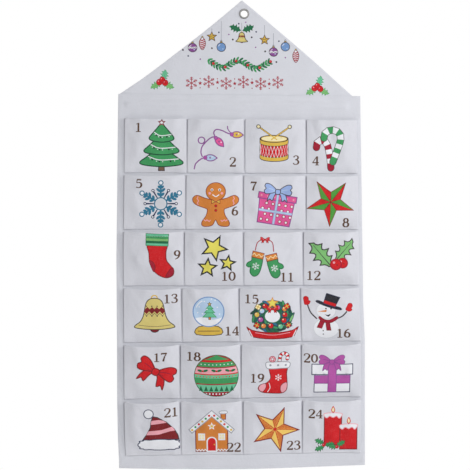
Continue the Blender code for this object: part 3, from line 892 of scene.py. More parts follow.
    def candles(self) -> Drawing:
        """Two red candles with white wax and holly at their foot, 84 by 86 mm.

        Returns:
            The drawing.
        """
        art = Drawing()
        for x, y, low in ((-2, 30, -62), (29, 6, -47)):
            candle = Drawing().shape([(-16.8, 0), (-16.8, low), (16.8, low), (16.8, 0)], RED, DARK_RED, 1.3)
            wax = "-16.8 -3 -11.76 -6 -6.72 -2 0 -5 6.72 -2 11.76 -7 16.8 -2 16.8 3 0 5 -16.8 3"
            candle.shape(wax, WHITE, ROSE, 1.1, 3).stroke("0 4 0 9", 1.1, LINE)
            art.add(candle.shape("0 6 3.2 10 0 18 -3.2 10", CREAM, RED, 1.1, 4), x, y)
        for x, y, turn in ((-19, -29, 155), (-17, -33, 12), (6, -34, 30), (8, -38, 165), (-18, -36, 200)):
            art.add(self.holly_leaf(19, 14, GREEN, PINE), x, y, turn)
        return art.add(self.berry(3.4), -19, -32).add(self.berry(3.4), 7, -36)

    PICTURES = (
        tree, lights, drum, canes, snowflake, cookie, gift, split_star, striped_stocking, three_stars, mittens,
        holly, Ornaments.bell, snow_globe, wreath, snowman, red_bow, bauble, stocking, box, hat, house,
        faceted_star, candles,
    )


class GablePrint(Ornaments):
    """The print of the gable: ornaments on threads, holly, a green garland and a row of flakes.
    Places are given on a picture of the front, 470 by 470, whose PX is the size of one step in
    millimetres and in which the eyelet is at EYELET."""

    PX = 1.959
    EYELET = (244.4, 14.1)
    DOTS = (
        "183 51 188 57 200 60 212 49 219 33 229 35 233 40 239 24 246 22.5 252 37.5 256.5 32 256 47.5 "
        "265.5 51.5 279.5 41 286 57.5 276.8 62"
    )
    ROW = -137

    def at(self, x: float, y: float) -> tuple[float, float]:
        """Turn a place on the picture into a place on the gable in millimetres."""
        return (x - self.EYELET[0]) * self.PX, (self.EYELET[1] - y) * self.PX

    def drawing(self) -> Drawing:
        """Lay out the gable's print.

        Returns:
            The drawing, in the frame of the part.
        """
        art = Drawing()
        gold = Drawing().shape(star(0, 0, 9.5, 4.4), GOLD, BROWN, 1.0)
        gold.stroke("-5 0.5 5 2", 1.0, BROWN).stroke("-4 -3 4 -2", 1.0, BROWN)
        purple, blue, drop = self.ball(PURPLE, WHITE), self.ball(BLUE), self.drop()
        for toy, x, y, top, size in (
            (purple, 192.6, 48.6, 43.6, 1), (drop, 202.5, 44.2, 36.5, 1), (gold, 212, 37.4, 29, 1),
            (blue, 221.4, 47.8, 21.5, 1), (gold, 265, 40, 25, 1), (purple, 274, 52, 33, 1),
            (blue, 286, 46.5, 41, 1), (drop, 296.6, 55.8, 49.5, 1), (self.bell(3.2), 242, 37.5, 23.0, 0.30),
        ):
            middle = self.at(x, y)
            art.stroke([self.at(x, top), (middle[0], middle[1] + 10 * size)], 0.9, GREY).add(toy, *middle, size=size)
        for turn, x in ((158, 241), (22, 243)):
            art.add(self.holly_leaf(23, 16, DARK_GREEN, DARK_GREEN), *self.at(x, 31), turn)
        for x, y in ((160.8, 83), (318.6, 87.6)):
            art.add(self.berried_holly(), *self.at(x, y), size=0.95)
        for number, (x, y) in enumerate(traced(self.DOTS)):
            kind = number % 3
            art.dots(self.at(x, y), 1.9 - 0.2 * kind, (LINE, NAVY, PURPLE)[kind])
        return art.add(self.garland()).add(self.flake_row())

    def garland(self) -> Drawing:
        """Draw a leafy green garland in two swags, each leaf set off the stem by turns.

        Returns:
            The drawing.
        """
        stem = traced("-72 -91 -44 -106 -12 -92 22 -107 52 -93", False, 10)
        art = Drawing().stroke(stem, 1.5, DARK_GREEN)
        line = spaced(stem, 6.4)
        way = np.degrees(np.arctan2(*(np.gradient(line, axis=0)[:, ::-1]).T))
        for at, (point, turn) in enumerate(zip(line[:-1], way)):
            for side in (-1, 1):
                leaf = turned(ring(5, 0, 5.2, 2.0, 12), turn + side * 42, *point)
                art.fill(leaf, DARK_GREEN if at % 2 else GREEN)
        for point in line[2::4]:
            art.add(self.berry(2.6), *point)
        return art

    def flake_row(self) -> Drawing:
        """Draw a row of crimson snowflakes with stars and dots between them.

        Returns:
            The drawing.
        """
        art = Drawing()
        for at, x in enumerate(np.linspace(-106, 66, 6)):
            art.add(self.flake(12.5, CRIMSON), x, self.ROW + 3 * (at % 2))
        for at, x in enumerate(np.linspace(-88.8, 48.8, 5)):
            art.fill(star(x, self.ROW + 2 * (at % 2), 4.2, 1.9), CRIMSON)
            art.dots([(x, self.ROW - 9), (x, self.ROW + 9)], 1.2, CRIMSON)
        return art


def rise(value: Points, span: float) -> Points:
    """Step smoothly from 0 to 1 as value goes from 0 to span, by the cubic with flat ends."""
    share = np.clip(value / span, 0, 1)
    return share * share * (3 - 2 * share)


def bump(value: Points, width: float) -> Points:
    """A bell curve: 1 where value is 0, falling with the square of value over width."""
    return np.exp(-((value / width) ** 2))


def ripples(across: Points, up: Points, seed: int, wave: float, count: int = 9) -> Points:
    """Sum plane waves of random directions, lengths near one wave, and random starts.

    Args:
        across: Places across.
        up: Places up.
        seed: Which random set it takes.
        wave: The mean length of a wave.
        count: How many waves it sums.

    Returns:
        A value from about -1 to 1 at each place.
    """
    rng = np.random.default_rng(seed)
    turn, start = rng.uniform(0, 2 * math.pi, count), rng.uniform(0, 2 * math.pi, count)
    length = wave * rng.uniform(0.6, 1.7, count)
    total = np.zeros_like(across)
    for one, begin, size in zip(turn, start, length):
        total = total + np.sin(2 * math.pi * (across * math.cos(one) + up * math.sin(one)) / size + begin)
    return total / math.sqrt(2 * count)


@dataclass(frozen=True)
class Wave:
    """A long wave of the cloth: how high it stands, its length along x, how far it slants (the
    shift of x for each metre of z), and where it starts."""

    height: float
    length: float
    slant: float
    start: float = 0.0

    def at(self, x: Points, z: Points) -> Points:
        """Its height at each place: a sine along the slanted x."""
        return self.height * np.sin(2 * math.pi * (x + self.slant * z) / self.length + self.start)


@dataclass(frozen=True)
class Plan:
    """The sizes that several pieces share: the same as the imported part's."""

    left: float = -0.249
    right: float = 0.231
    shoulder: float = -0.160
    bottom: float = -0.8883
    bottom_sag: float = 0.005
    apex: tuple[float, float] = (-0.0045, 0.026)
    gable_left: float = -0.247
    gable_right: float = 0.2155
    tab_bottom: float = -0.1968
    slope_sags: tuple[float, float] = (0.002, -0.005)
    hem: float = 0.008
    gable_hem: float = 0.006
    body_y: float = -0.0018
    gable_y: float = -0.0003
    turn: float = 0.0006
    cloth: float = 0.0004
    rod_z: float = -0.1794
    channel: tuple[float, float] = (-0.2386, 0.2091)
    channel_height: float = 0.022
    channel_end: float = 0.008
    rod_bulge: float = 0.00235
    hole_radius: float = 0.0076
    clear_of_rod: float = 0.016
    leans: tuple[tuple[float, float, float], ...] = (
        (-0.875, 0.005, 0.0077), (-0.828, 0.0027, 0.0080), (-0.758, 0.0014, 0.0081), (-0.64, 0.001, 0.0080),
        (-0.57, 0.0004, 0.0051), (-0.475, -0.0002, 0.0036), (-0.382, 0.0011, 0.0024), (-0.264, 0.0022, 0.0008),
        (-0.17, 0.0033, -0.0006), (-0.131, 0.0043, -0.0014), (-0.07, 0.0, 0.0),
    )
    waves: tuple[Wave, ...] = (
        Wave(0.0011, 0.31, 2.1 * 0.31 / (2 * math.pi), math.pi / 2 - 2 * math.pi * 0.06 / 0.31),
        Wave(0.0006, 0.17, 0.5, 0.8),
        Wave(-0.0005, 0.23 / 0.3, -1 / 0.3),
    )
    valley: tuple[float, float, float] = (-0.122, 0.022, 0.0022)
    curl: tuple[float, float, float] = (-0.55, 0.05, -0.0030)
    pull_height: float = 0.0007
    pull_turns: float = 5.2
    pull_start: float = 0.6
    pull_reach: tuple[float, float] = (0.10, 0.08)
    gable_wave: Wave = Wave(0.0004, 0.13, 0.3)

    def lean(self, x: Points, z: Points) -> Points:
        """How far the cut has drifted across: the left edge and the right one as leans gives them
        for so many heights, and all that is between them in proportion.

        Args:
            x: Places across.
            z: Places up.

        Returns:
            The distance along x at each place.
        """
        heights, *drifts = zip(*self.leans)
        left, right = (np.interp(z, heights, drift) for drift in drifts)
        return left + (right - left) * (x - self.left) / (self.right - self.left)

    def over_rod(self, x: Points, z: Points) -> Points:
        """How far the cloth stands off to clear the rod: a cosine hump that fades out at both ends.

        Args:
            x: Places across.
            z: Places up.

        Returns:
            The distance at each place.
        """
        height = np.clip(np.abs(z - self.rod_z) / (self.channel_height / 2), 0, 1)
        inside = np.minimum(x - self.channel[0], self.channel[1] - x)
        return self.rod_bulge * (1 + np.cos(math.pi * height)) / 2 * rise(inside, self.channel_end)

    def drape(self, x: Points, z: Points) -> Points:
        """How far the hanging wanders off its plane, the same for every layer of cloth: long waves
        that grow below the rod, a valley beside the first column's seam, a curl of the lower right
        edge, and pull folds that run down the gable from the eyelet. It fades out at the eyelet and
        along the rod.

        Args:
            x: Places across.
            z: Places up.

        Returns:
            The distance along y at each place.
        """
        below = rise(self.rod_z - self.clear_of_rod - z, 0.30)
        low = rise(self.rod_z - 0.30 - z, 0.40)
        middle, width, depth = self.valley
        top, fade, forward = self.curl
        curl = forward * np.exp(-(self.right - x) / fade) * rise(top - z, 0.3)
        hanging = below * sum(wave.at(x, z) for wave in self.waves)
        hanging += low * (depth * bump(x - middle, width) + curl)
        reach = np.hypot(x, z)
        above = rise(z - self.rod_z - self.clear_of_rod, 0.03) * rise(reach - self.clear_of_rod, 0.05)
        pulls = self.pull_height * np.cos(self.pull_turns * np.arctan2(x, -z) + self.pull_start)
        pulls *= bump(reach - self.pull_reach[0], self.pull_reach[1])
        return hanging + above * (pulls + self.gable_wave.at(x, z))


@dataclass
class Mesh:
    """A mesh in the making: vertices, faces, the ink of each face and the flat place of each vertex."""

    name: str
    vertices: Points
    faces: list[Points]
    inks: Points | None = None
    flats: Points | None = None

    def build(self, *materials: Material) -> Piece:
        """Make the object, smooth shaded, with its print and flat places as attributes.

        Args:
            *materials: The materials of its slots.

        Returns:
            The object, at the origin.
        """
        mesh = bpy.data.meshes.new(self.name)
        sizes = np.concatenate([np.full(len(part), part.shape[1]) for part in self.faces])
        corners = np.concatenate([part.ravel() for part in self.faces]).astype(np.int32)
        mesh.vertices.add(len(self.vertices))
        mesh.vertices.foreach_set("co", self.vertices.astype(np.float32).ravel())
        mesh.loops.add(len(corners))
        mesh.loops.foreach_set("vertex_index", corners)
        mesh.polygons.add(len(sizes))
        mesh.polygons.foreach_set("loop_start", (np.cumsum(sizes) - sizes).astype(np.int32))
        mesh.update(calc_edges=True)
        mesh.validate()
        mesh.shade_smooth()
        if self.inks is not None:
            layer = mesh.attributes.new(PRINT, "FLOAT_COLOR", "CORNER")
            layer.data.foreach_set("color", np.repeat(self.inks, sizes, axis=0).astype(np.float32).ravel())
        if self.flats is not None:
            layer = mesh.uv_layers.new(name=FLAT)
            layer.uv.foreach_set("vector", self.flats[corners].astype(np.float32).ravel())
        for material in materials:
            mesh.materials.append(material)
        piece = bpy.data.objects.new(self.name, mesh)
        bpy.context.scene.collection.objects.link(piece)
        return piece

    def thickened(self, cloth: float, *materials: Material) -> Piece:
        """Make the object, and give the sheet its thickness, half to each side, with the second
        material on its back.

        Args:
            cloth: The thickness.
            *materials: The materials of its front and its back.

        Returns:
            The object.
        """
        piece = self.build(*materials)
        wall = piece.modifiers.new("cloth", "SOLIDIFY")
        wall.thickness, wall.offset, wall.use_even_offset = cloth, 0, False
        wall.material_offset, wall.material_offset_rim = 1, 0
        return piece


@dataclass
class FlatCut:
    """A flat cut of cloth, cut into triangles whose edges follow the lines of its drawing, with the
    ink of each triangle and the vertices of its own outline in their order."""

    places: Points
    triangles: Points
    inks: Points
    outline: Points

    @classmethod
    def lay_out(cls, outlines: list[Points], drawing: Drawing, spots: Points) -> "FlatCut":
        """Triangulate a cut with its holes, its drawing and more points inside it.

        Args:
            outlines: The outline of the cut in millimetres, then those of its holes.
            drawing: What is printed on it.
            spots: Further points for the cloth to bend at.

        Returns:
            The cut.
        """
        polygons = outlines + [divided(points, 5.0) for points, _ in drawing.shapes]
        starts = np.cumsum([0] + [len(points) for points in polygons])
        order = [np.arange(len(points)) + first for first, points in zip(starts, polygons)]
        edges = [np.column_stack([at, np.roll(at, -1)]) for at in order]
        corners = [Vector(point) for point in np.vstack(polygons + [spots]).tolist()]
        made = delaunay_2d_cdt(corners, np.vstack(edges).tolist(), [], 0, 0.002, True)
        places, triangles = np.array([tuple(point) for point in made[0]]), np.array(made[2])
        centres = places[triangles].mean(axis=1)
        kept, top = np.zeros(len(centres), bool), np.zeros(len(centres), int)
        for number, polygon in enumerate(polygons):
            held = within(centres, polygon)
            if number < len(outlines):
                kept[held] = number == 0
            else:
                top[held] = number - len(outlines) + 1
        table = np.array([ink.cover() for ink in [BARE] + [ink for _, ink in drawing.shapes]])
        used, renumbered = np.unique(triangles[kept], return_inverse=True)
        fresh = np.full(len(places), -1)
        fresh[used] = np.arange(len(used))
        whereabouts = {source: place for place, owners in enumerate(made[3]) for source in owners}
        outline = fresh[[whereabouts[index] for index in order[0]]]
        return cls(places[used], renumbered.reshape(-1, 3), table[top[kept]], outline)


def divided(outline: Points, step: float) -> Points:
    """Divide the edges of an outline evenly, so that no part of one is longer than a step.

    Args:
        outline: The closed outline.
        step: The longest that a part of an edge may be.

    Returns:
        The outline with its new points.
    """
    span = np.roll(outline, -1, 0) - outline
    counts = np.maximum(np.ceil(np.linalg.norm(span, axis=1) / step), 1).astype(int)
    first = np.repeat(np.arange(len(outline)), counts)
    share = (np.arange(len(first)) - np.repeat(np.cumsum(counts) - counts, counts)) / counts[first]
    return outline[first] + span[first] * share[:, None]


def within(points: Points, outline: Points) -> Points:
    """Find the points inside an outline: a ray to the right crosses its line an odd number of times.

    Args:
        points: The points.
        outline: The closed outline.

    Returns:
        Which of the points are inside, by their numbers.
    """
    near = np.flatnonzero(np.all((points > outline.min(0)) & (points < outline.max(0)), axis=1))
    if not len(near):
        return near
    span = np.roll(outline, -1, 0) - outline
    x, y = points[near, 0][:, None], points[near, 1][:, None]
    level = (outline[:, 1] > y) != (outline[:, 1] + span[:, 1] > y)
    steep = np.where(np.abs(span[:, 1]) < 1e-9, 1e-9, span[:, 1])
    crossing = level & (x < outline[:, 0] + span[:, 0] * (y - outline[:, 1]) / steep)
    return near[crossing.sum(axis=1) % 2 == 1]


def gridded(across: Line, up: Line) -> Points:
    """Every place of a grid, from its places across and up."""
    return np.stack(np.meshgrid(across, up), axis=-1).reshape(-1, 2)


def lattice(low: Line, high: Line, step: float) -> Points:
    """Fill a box with rows of points, every other row shifted by half a step.

    Args:
        low: Its lower left corner.
        high: Its upper right corner.
        step: How far apart the points are.

    Returns:
        The points.
    """
    rows = np.arange(low[1] + step / 2, high[1], step * 0.87)
    across = np.arange(low[0] + step / 2, high[0] - step / 2, step)
    points = gridded(across, rows)
    points[:, 0] += np.repeat(np.arange(len(rows)) % 2, len(across)) * step / 2
    return points


def inside(points: Points, outline: Points, gap: float) -> Points:
    """Keep the points inside an outline and more than a gap from its line.

    Args:
        points: The points.
        outline: The closed outline.
        gap: The least distance from the line.

    Returns:
        The points that are kept.
    """
    held = points[within(points, outline)]
    span = np.roll(outline, -1, 0) - outline
    reach = held[:, None, :] - outline
    share = np.clip(np.sum(reach * span, axis=2) / np.sum(span**2, axis=1), 0, 1)[..., None]
    away = np.linalg.norm(reach - share * span, axis=2)
    return held[away.min(axis=1) > gap]


def bowed(start: Line, end: Line, sag: float, step: float = 0.004) -> Points:
    """Run from start towards end, bowed to the right of that way by a parabola of height sag.

    Args:
        start: The first point.
        end: The point that it stops short of.
        sag: The height of the bow.
        step: About how far apart its points are.

    Returns:
        The points, without the end.
    """
    first, along = np.array(start), np.array(end) - np.array(start)
    length = float(np.hypot(*along))
    count = max(round(length / step), 1)
    share = (np.arange(count) / count)[:, None]
    side = np.array([along[1], -along[0]]) / length
    return first + along * share + side * sag * 4 * share * (1 - share)


def outlined(corners: list[Line], sags: Line) -> Points:
    """The closed outline through corners, with the sag of each side."""
    return np.vstack([bowed(*side) for side in zip(corners, corners[1:] + corners[:1], sags)])


def body_outline(plan: Plan) -> Points:
    """The backing's edge, anticlockwise as seen from the front, with its sagging bottom."""
    left, right, low, high = plan.left, plan.right, plan.bottom, plan.shoulder
    return outlined([(left, low), (right, low), (right, high), (left, high)], (plan.bottom_sag, 0, 0, 0))


def gable_outline(plan: Plan) -> Points:
    """The gable's edge, anticlockwise as seen from the front: its tab, then its two slopes."""
    left, right, low, high = plan.gable_left, plan.gable_right, plan.tab_bottom, plan.shoulder
    return outlined([(left, low), (right, low), (right, high), plan.apex, (left, high)], (0, 0, *plan.slope_sags, 0))


@dataclass
class HemmedCloth:
    """A flat panel of cloth with a hem turned to its back all round."""

    plan: Plan
    name: str
    outline: Points
    front_y: float
    hem: float
    way: int
    seed: int
    drawing: Drawing = field(default_factory=Drawing)
    hole: float = 0.0
    grid: float = 4.5
    layers: int = 5
    bands: int = 4
    crumple: float = 0.00022
    crumple_wave: float = 0.045
    flat_reach: float = 0.013

    def place(self, flat: Points, behind: float = 0.0) -> Points:
        """Hang flat cloth: it follows the rod's bulge, the drape and its own fine crumples.

        Args:
            flat: Places across and up.
            behind: How far behind the front layer they are.

        Returns:
            The points in space.
        """
        x, z = flat.T
        crumple = self.crumple * ripples(x, z, self.seed, self.crumple_wave)
        crumple *= rise(np.hypot(x, z) - self.flat_reach, 0.02)
        y = self.front_y + behind + self.way * self.plan.over_rod(x, z) + self.plan.drape(x, z) + crumple
        return np.column_stack([x + self.plan.lean(x, z), y, z])

    def inward(self) -> Points:
        """The mitred inward normal at each point of the outline: the mean of its two sides' normals,
        lengthened so that the hem keeps its width round a corner.

        Returns:
            The normals.
        """
        ahead = unit(np.roll(self.outline, -1, 0) - self.outline)
        normal = (ahead + np.roll(ahead, 1, 0))[:, ::-1] * (-1, 1)
        return normal / (np.sum(normal * normal, axis=1, keepdims=True) / 2)

    def build(self, *materials: Material) -> Piece:
        """Make the panel: its front layer from the flat cut, and the hem as a profile carried round
        its outline, a half turn back and then a flat band.

        Args:
            *materials: The materials of its front and its back.

        Returns:
            The piece.
        """
        cuts = [self.outline / MM]
        spots = inside(lattice(cuts[0].min(0), cuts[0].max(0), self.grid), cuts[0], self.grid / 2)
        if self.hole:
            hole = self.hole / MM
            cuts.append(ring(0, 0, hole, steps=48))
            spots = np.vstack([spots[np.hypot(*spots.T) > hole + 2], ring(0, 0, hole + 2.5, steps=36)])
        cut = FlatCut.lay_out(cuts, self.drawing, spots)
        swing = np.linspace(0, math.pi, self.layers + 1)[1:]
        radius, band = self.plan.turn / 2, np.linspace(0, self.hem, self.bands + 1)[1:]
        inward = np.concatenate([-radius * np.sin(swing), band])
        behind = np.concatenate([radius * (1 - np.cos(swing)), np.full(self.bands, 2 * radius)])
        length = np.concatenate([swing * radius, radius * math.pi + band])
        flats, faces = [cut.places * MM], []
        vertices, normal, loop = [self.place(flats[0])], self.inward(), cut.outline
        for back, shift, far in zip(behind, inward, length):
            fresh = np.arange(len(loop)) + sum(len(part) for part in vertices)
            vertices.append(self.place(self.outline + normal * shift, back))
            flats.append(self.outline - normal * far)
            faces.append(np.column_stack([np.roll(loop, -1), loop, fresh, np.roll(fresh, -1)]))
            loop = fresh
        inks = np.vstack([cut.inks, np.tile(BARE.cover(), (len(loop) * len(faces), 1))])
        mesh = Mesh(self.name, np.vstack(vertices), [cut.triangles, np.vstack(faces)], inks, np.vstack(flats))
        return mesh.thickened(self.plan.cloth, *materials)

    def stitched(self, path: Points, behind: float, way: float) -> Pair:
        """Stitches along a flat path so far behind the front layer, facing along y by way."""
        return self.place(path, behind), np.tile([0.0, way, 0.0], (len(path), 1))

    def seams(self, gap: float) -> list[Pair]:
        """The line of stitches that holds the hem, so far inside the edge: its front thread, then
        its back one.

        Args:
            gap: How far inside the edge it runs.

        Returns:
            The two runs.
        """
        path, half = self.outline + self.inward() * gap, self.plan.cloth / 2
        path = np.vstack([path, path[:1]])
        return [self.stitched(path, -half, -1.0), self.stitched(path, self.plan.turn + half, 1.0)]

    def line(self, left: float, right: float, height: float) -> Pair:
        """A level line of stitches on the front of the single cloth."""
        path = np.column_stack([np.linspace(left, right, 120), np.full(120, height)])
        return self.stitched(path, -self.plan.cloth / 2, -1.0)


class Leg(Enum):
    """The kinds of stretch that a pleated strip is made of, each with how many parts it bends in."""

    TAB = ("tab", 2)
    LOWER = ("lower leg", 5)
    INNER = ("inner fold", 6)
    UPPER = ("upper leg", 4)
    CREASE = ("crease", 6)
    FACE = ("face", 1)


@dataclass(frozen=True)
class Stretch:
    """One stretch of a strip's flat length: what it does, how long it is, the column that it belongs
    to, its way (1 from the seam on the left, -1 to the one on the right), and where it starts."""

    leg: Leg
    length: float
    column: int
    way: int
    start: float = 0.0

    @property
    def end(self) -> float:
        """Where it ends."""
        return self.start + self.length


@dataclass
class PocketStrip:
    """One row of four pockets, a single strip of cloth pleated at each side of each pocket."""

    plan: Plan
    row: int
    columns: int = 4
    edges: tuple[float, float] = (-0.2365, 0.223)
    end_tab: float = 0.004
    end_less: float = 0.0107
    drift: float = 0.0115
    drift_shares: tuple[float, ...] = (1.0, 1.0, 0.5, 0.1, 0.0, 0.0)
    strays: tuple[tuple[float, float, float], ...] = (
        (-0.001, -0.006, -0.002),
        (-0.0033, -0.0088, -0.0033),
        (0.0, -0.003, -0.004),
        (-0.001, -0.008, -0.006),
        (-0.004, -0.005, -0.006),
        (-0.004, -0.002, -0.004),
    )
    pleat: float = 0.009
    insets: tuple[float, float] = (-0.0032, 0.0019)
    gape: float = 0.0056
    sag: float = 0.0034
    gape_shares: tuple[float, ...] = (0.6, 0.65, 0.7, 0.8, 1.0, 0.95)
    lower_share: float = 0.35
    belly: float = 0.35
    first_seam_z: float = -0.2074 - 0.1030166667
    pitch: float = 0.1103166667
    height: float = 0.1030166667
    allowance: float = 0.003
    first_layer: float = 0.0006
    layer: float = 0.00065
    front_y: float = -0.0021
    hem: float = 0.009
    hem_back: float = 0.0008
    hem_inset: float = 0.0015
    hem_seam: float = 0.0075
    bottom_seam: float = 0.0008
    thinner: float = 0.75
    grid: float = 2.6
    first_seed: int = 40
    fine_seed: int = 60
    wave: tuple[float, float] = (0.0015, 0.052)
    fine: tuple[float, float] = (0.00018, 0.020)
    fades: tuple[float, float] = (0.25, 0.4)
    pull: float = 0.0005
    pull_line: tuple[float, float, float] = (1.7, 0.8, 0.02)
    pull_width: float = 0.09
    flattened: float = 0.014
    press: float = 0.0003
    press_up: float = 0.003
    press_beside: float = 0.0015
    press_depth: tuple[float, float] = (0.0013, 0.0006)
    flat_step: float = 0.31

    @property
    def seams(self) -> list[float]:
        """The five places across at which the strip is sewn down."""
        first, last = self.edges[0] + self.end_tab, self.edges[1] - self.end_tab
        pitch = (last - first + 2 * self.end_less) / self.columns
        shift = self.drift * self.drift_shares[self.row]
        strays = self.strays[self.row]
        inner = [first - self.end_less + pitch * (at + 1) + shift + stray for at, stray in enumerate(strays)]
        return [first, *inner, last]

    @property
    def seam_z(self) -> float:
        """The height of the bottom seam."""
        return self.first_seam_z - self.pitch * self.row

    def inset(self, edge: int) -> float:
        """How far a face's crease stays from a column's seam: more at the strip's two ends."""
        return self.insets[0] if edge in (0, self.columns) else self.insets[1]

    def side(self, edge: int) -> list[tuple[Leg, float]]:
        """The stretches of a pleat, from its seam to its face, each with its flat length."""
        turn, lower = math.pi * self.layer / 2, self.pleat + self.inset(edge)
        return [(Leg.LOWER, lower), (Leg.INNER, turn), (Leg.UPPER, self.pleat), (Leg.CREASE, turn)]

    @cached_property
    def stretches(self) -> list[Stretch]:
        """The strip's stretches along its flat cloth, from left to right, each starting where the
        last one ends."""
        made: list[tuple[Leg, float, int, int]] = [(Leg.TAB, self.end_tab, 0, 1)]
        for at in range(self.columns):
            width = self.seams[at + 1] - self.seams[at] - self.inset(at) - self.inset(at + 1)
            made += [(*part, at, 1) for part in self.side(at)]
            made += [(Leg.FACE, width, at, 1)]
            made += [(*part, at, -1) for part in reversed(self.side(at + 1))]
        made.append((Leg.TAB, self.end_tab, self.columns, -1))
        starts = np.cumsum([0.0] + [part[1] for part in made]).tolist()
        return [Stretch(*part, start) for part, start in zip(made, starts)]

    @property
    def faces(self) -> list[Stretch]:
        """The stretches that are pockets' faces."""
        return [part for part in self.stretches if part.leg is Leg.FACE]

    def flat_size(self) -> tuple[float, float, float]:
        """Work out how large the flat strip was cut: with its seam allowance all along, and above
        each face with the cloth of its hem.

        Returns:
            Its length, its height and its area.
        """
        length, tall = self.stretches[-1].end, self.height + self.allowance
        hem = self.hem + math.pi * self.hem_back / 2
        return length, tall + hem, length * tall + sum((part.length - 2 * self.hem_inset) * hem for part in self.faces)

    def pleat_place(self, part: Stretch, share: Points, gape: Points) -> Pair:
        """Place cloth of a side pleat, whose legs keep their lengths as the pocket opens: each leg's
        run is the root of its length squared less its rise squared, and each fold is a half circle.

        Args:
            part: The stretch.
            share: How far along it each point is, from 0 to 1.
            gape: How far the pocket opens at each point.

        Returns:
            Places across, and depths in front of the backing.
        """
        way, edge = part.way, part.column if part.way > 0 else part.column + 1
        at, seam = share if way > 0 else 1 - share, self.seams[edge]
        low = gape * self.lower_share
        high, first = gape - low, self.first_layer + low
        inner = seam + way * np.sqrt((self.pleat + self.inset(edge)) ** 2 - low**2)
        crease = inner - way * np.sqrt(self.pleat**2 - high**2)
        if part.leg is Leg.LOWER:
            return seam + (inner - seam) * at, self.first_layer + low * at
        if part.leg is Leg.UPPER:
            return inner + (crease - inner) * at, first + self.layer + high * at
        across, out = way * self.layer / 2 * np.sin(math.pi * at), self.layer / 2 * (1 - np.cos(math.pi * at))
        if part.leg is Leg.INNER:
            return inner + across, first + out
        return crease - across, first + self.layer + high + out

    def face_place(self, part: Stretch, share: Points, gape: Points) -> Pair:
        """Place cloth of a pocket's face: between its creases it stands out by one less the cube of
        the distance from its middle, with the height that takes up its slack.

        Args:
            part: The stretch.
            share: How far along it each point is, from 0 to 1.
            gape: How far the pocket opens at each point.

        Returns:
            Places across, and depths in front of the backing.
        """
        left, depth = self.pleat_place(Stretch(Leg.CREASE, 1, part.column, 1), np.ones_like(share), gape)
        right, _ = self.pleat_place(Stretch(Leg.CREASE, 1, part.column, -1), np.zeros_like(share), gape)
        chord = right - left
        bow = np.sqrt(np.maximum(5 * chord * (part.length - chord) / 18, 0))
        return left + chord * share, depth + bow * (1 - np.abs(2 * share - 1) ** 3)

    def section(self, along: Points, gape: Points) -> Pair:
        """Place points of the strip by their flat place along it.

        Args:
            along: The flat places.
            gape: How far the pocket opens at each.

        Returns:
            Places across, and depths in front of the backing.
        """
        along = np.clip(along, 0, self.stretches[-1].end)
        across, depth = np.zeros_like(along), np.full_like(along, self.first_layer)
        for part in self.stretches:
            held = (along >= part.start - 1e-9) & (along <= part.end + 1e-9)
            share = np.clip((along[held] - part.start) / part.length, 0, 1)
            if part.leg is Leg.TAB:
                across[held] = (self.edges[0] if part.way > 0 else self.seams[-1]) + share * part.length
            else:
                placed = self.face_place if part.leg is Leg.FACE else self.pleat_place
                across[held], depth[held] = placed(part, share, gape[held])
        return across, depth

    def relief(self, along: Points, up: Points) -> Pair:
        """How the faces leave the plain pleated strip. They stand out in soft waves that fade at the
        creases and the bottom seam, with a pull from each upper corner down to the middle of the
        seam. Beyond the pleats the bottom is pressed back to the backing. The middle of the mouth
        hangs lower, by a parabola across and a square upwards.

        Args:
            along: Flat places along the strip.
            up: Flat places above the bottom seam.

        Returns:
            How far out and how much lower each point is.
        """
        out, low = np.zeros_like(along), np.zeros_like(along)
        (aside, aloft), (across, upwards, shift) = self.fades, self.pull_line
        for part in self.faces:
            share = (along - part.start) / part.length
            held = (share > 0) & (share < 1)
            x, y = share[held], np.clip(up[held] / self.height, 0, 1)
            seed = self.first_seed + self.row * self.columns + part.column
            wave = self.wave[0] * (ripples(along[held], up[held], seed, self.wave[1], 7) + 1.0)
            wave += self.fine[0] * ripples(along[held], up[held], seed + self.fine_seed, self.fine[1], 7)
            wave -= self.pull * bump(np.abs(x - 0.5) * across - y * upwards + shift, self.pull_width)
            from_crease = np.minimum(x, 1 - x) * part.length
            pressed = rise(from_crease - self.pleat, self.flattened) * bump(y * self.height, self.flattened)
            out[held] = rise(x, aside) * rise(1 - x, aside) * rise(y, aloft) * wave - 2 * self.layer * pressed
            low[held] = self.sag * self.gape_shares[self.row] * 4 * x * (1 - x) * y * y
        return out, low

    def surface(self, along: Points, up: Points) -> Points:
        """Place flat points of the strip in space. Each keeps its distance of cloth from the bottom
        seam, so the mouth dips as it gapes. Above the mouth the hem turns down behind the face.

        Args:
            along: Flat places along the strip.
            up: Flat places above the bottom seam.

        Returns:
            The points.
        """
        radius = self.hem_back / 2
        over = np.clip(up - self.height, 0, None)
        swing = np.clip(over / (math.pi * radius), 0, 1) * math.pi
        level = np.minimum(up, self.height) - np.clip(over - math.pi * radius, 0, None)
        share = np.clip(level, 0, None) / self.height
        gape = self.gape * self.gape_shares[self.row] * share * (1 + self.belly * (1 - share))
        across, depth = self.section(along, gape)
        _, rest = self.section(along, np.zeros_like(gape))
        lift = np.sqrt(np.maximum(level**2 - (depth - rest) ** 2, 0)) * np.sign(level)
        out, low = self.relief(along, level)
        near = np.min([np.abs(across - seam) for seam in self.seams], axis=0)
        beside = bump(near, self.press_beside) * rise(self.press_depth[0] - depth, self.press_depth[1])
        pressed = self.press * np.maximum(bump(np.maximum(level, 0), self.press_up), beside)
        z = self.seam_z + lift + radius * np.sin(swing) - low
        y = self.front_y - (depth + out - radius * (1 - np.cos(swing)) - pressed)
        y += self.plan.drape(across, z) - self.plan.over_rod(across, z)
        return np.column_stack([across + self.plan.lean(across, z), y, z])

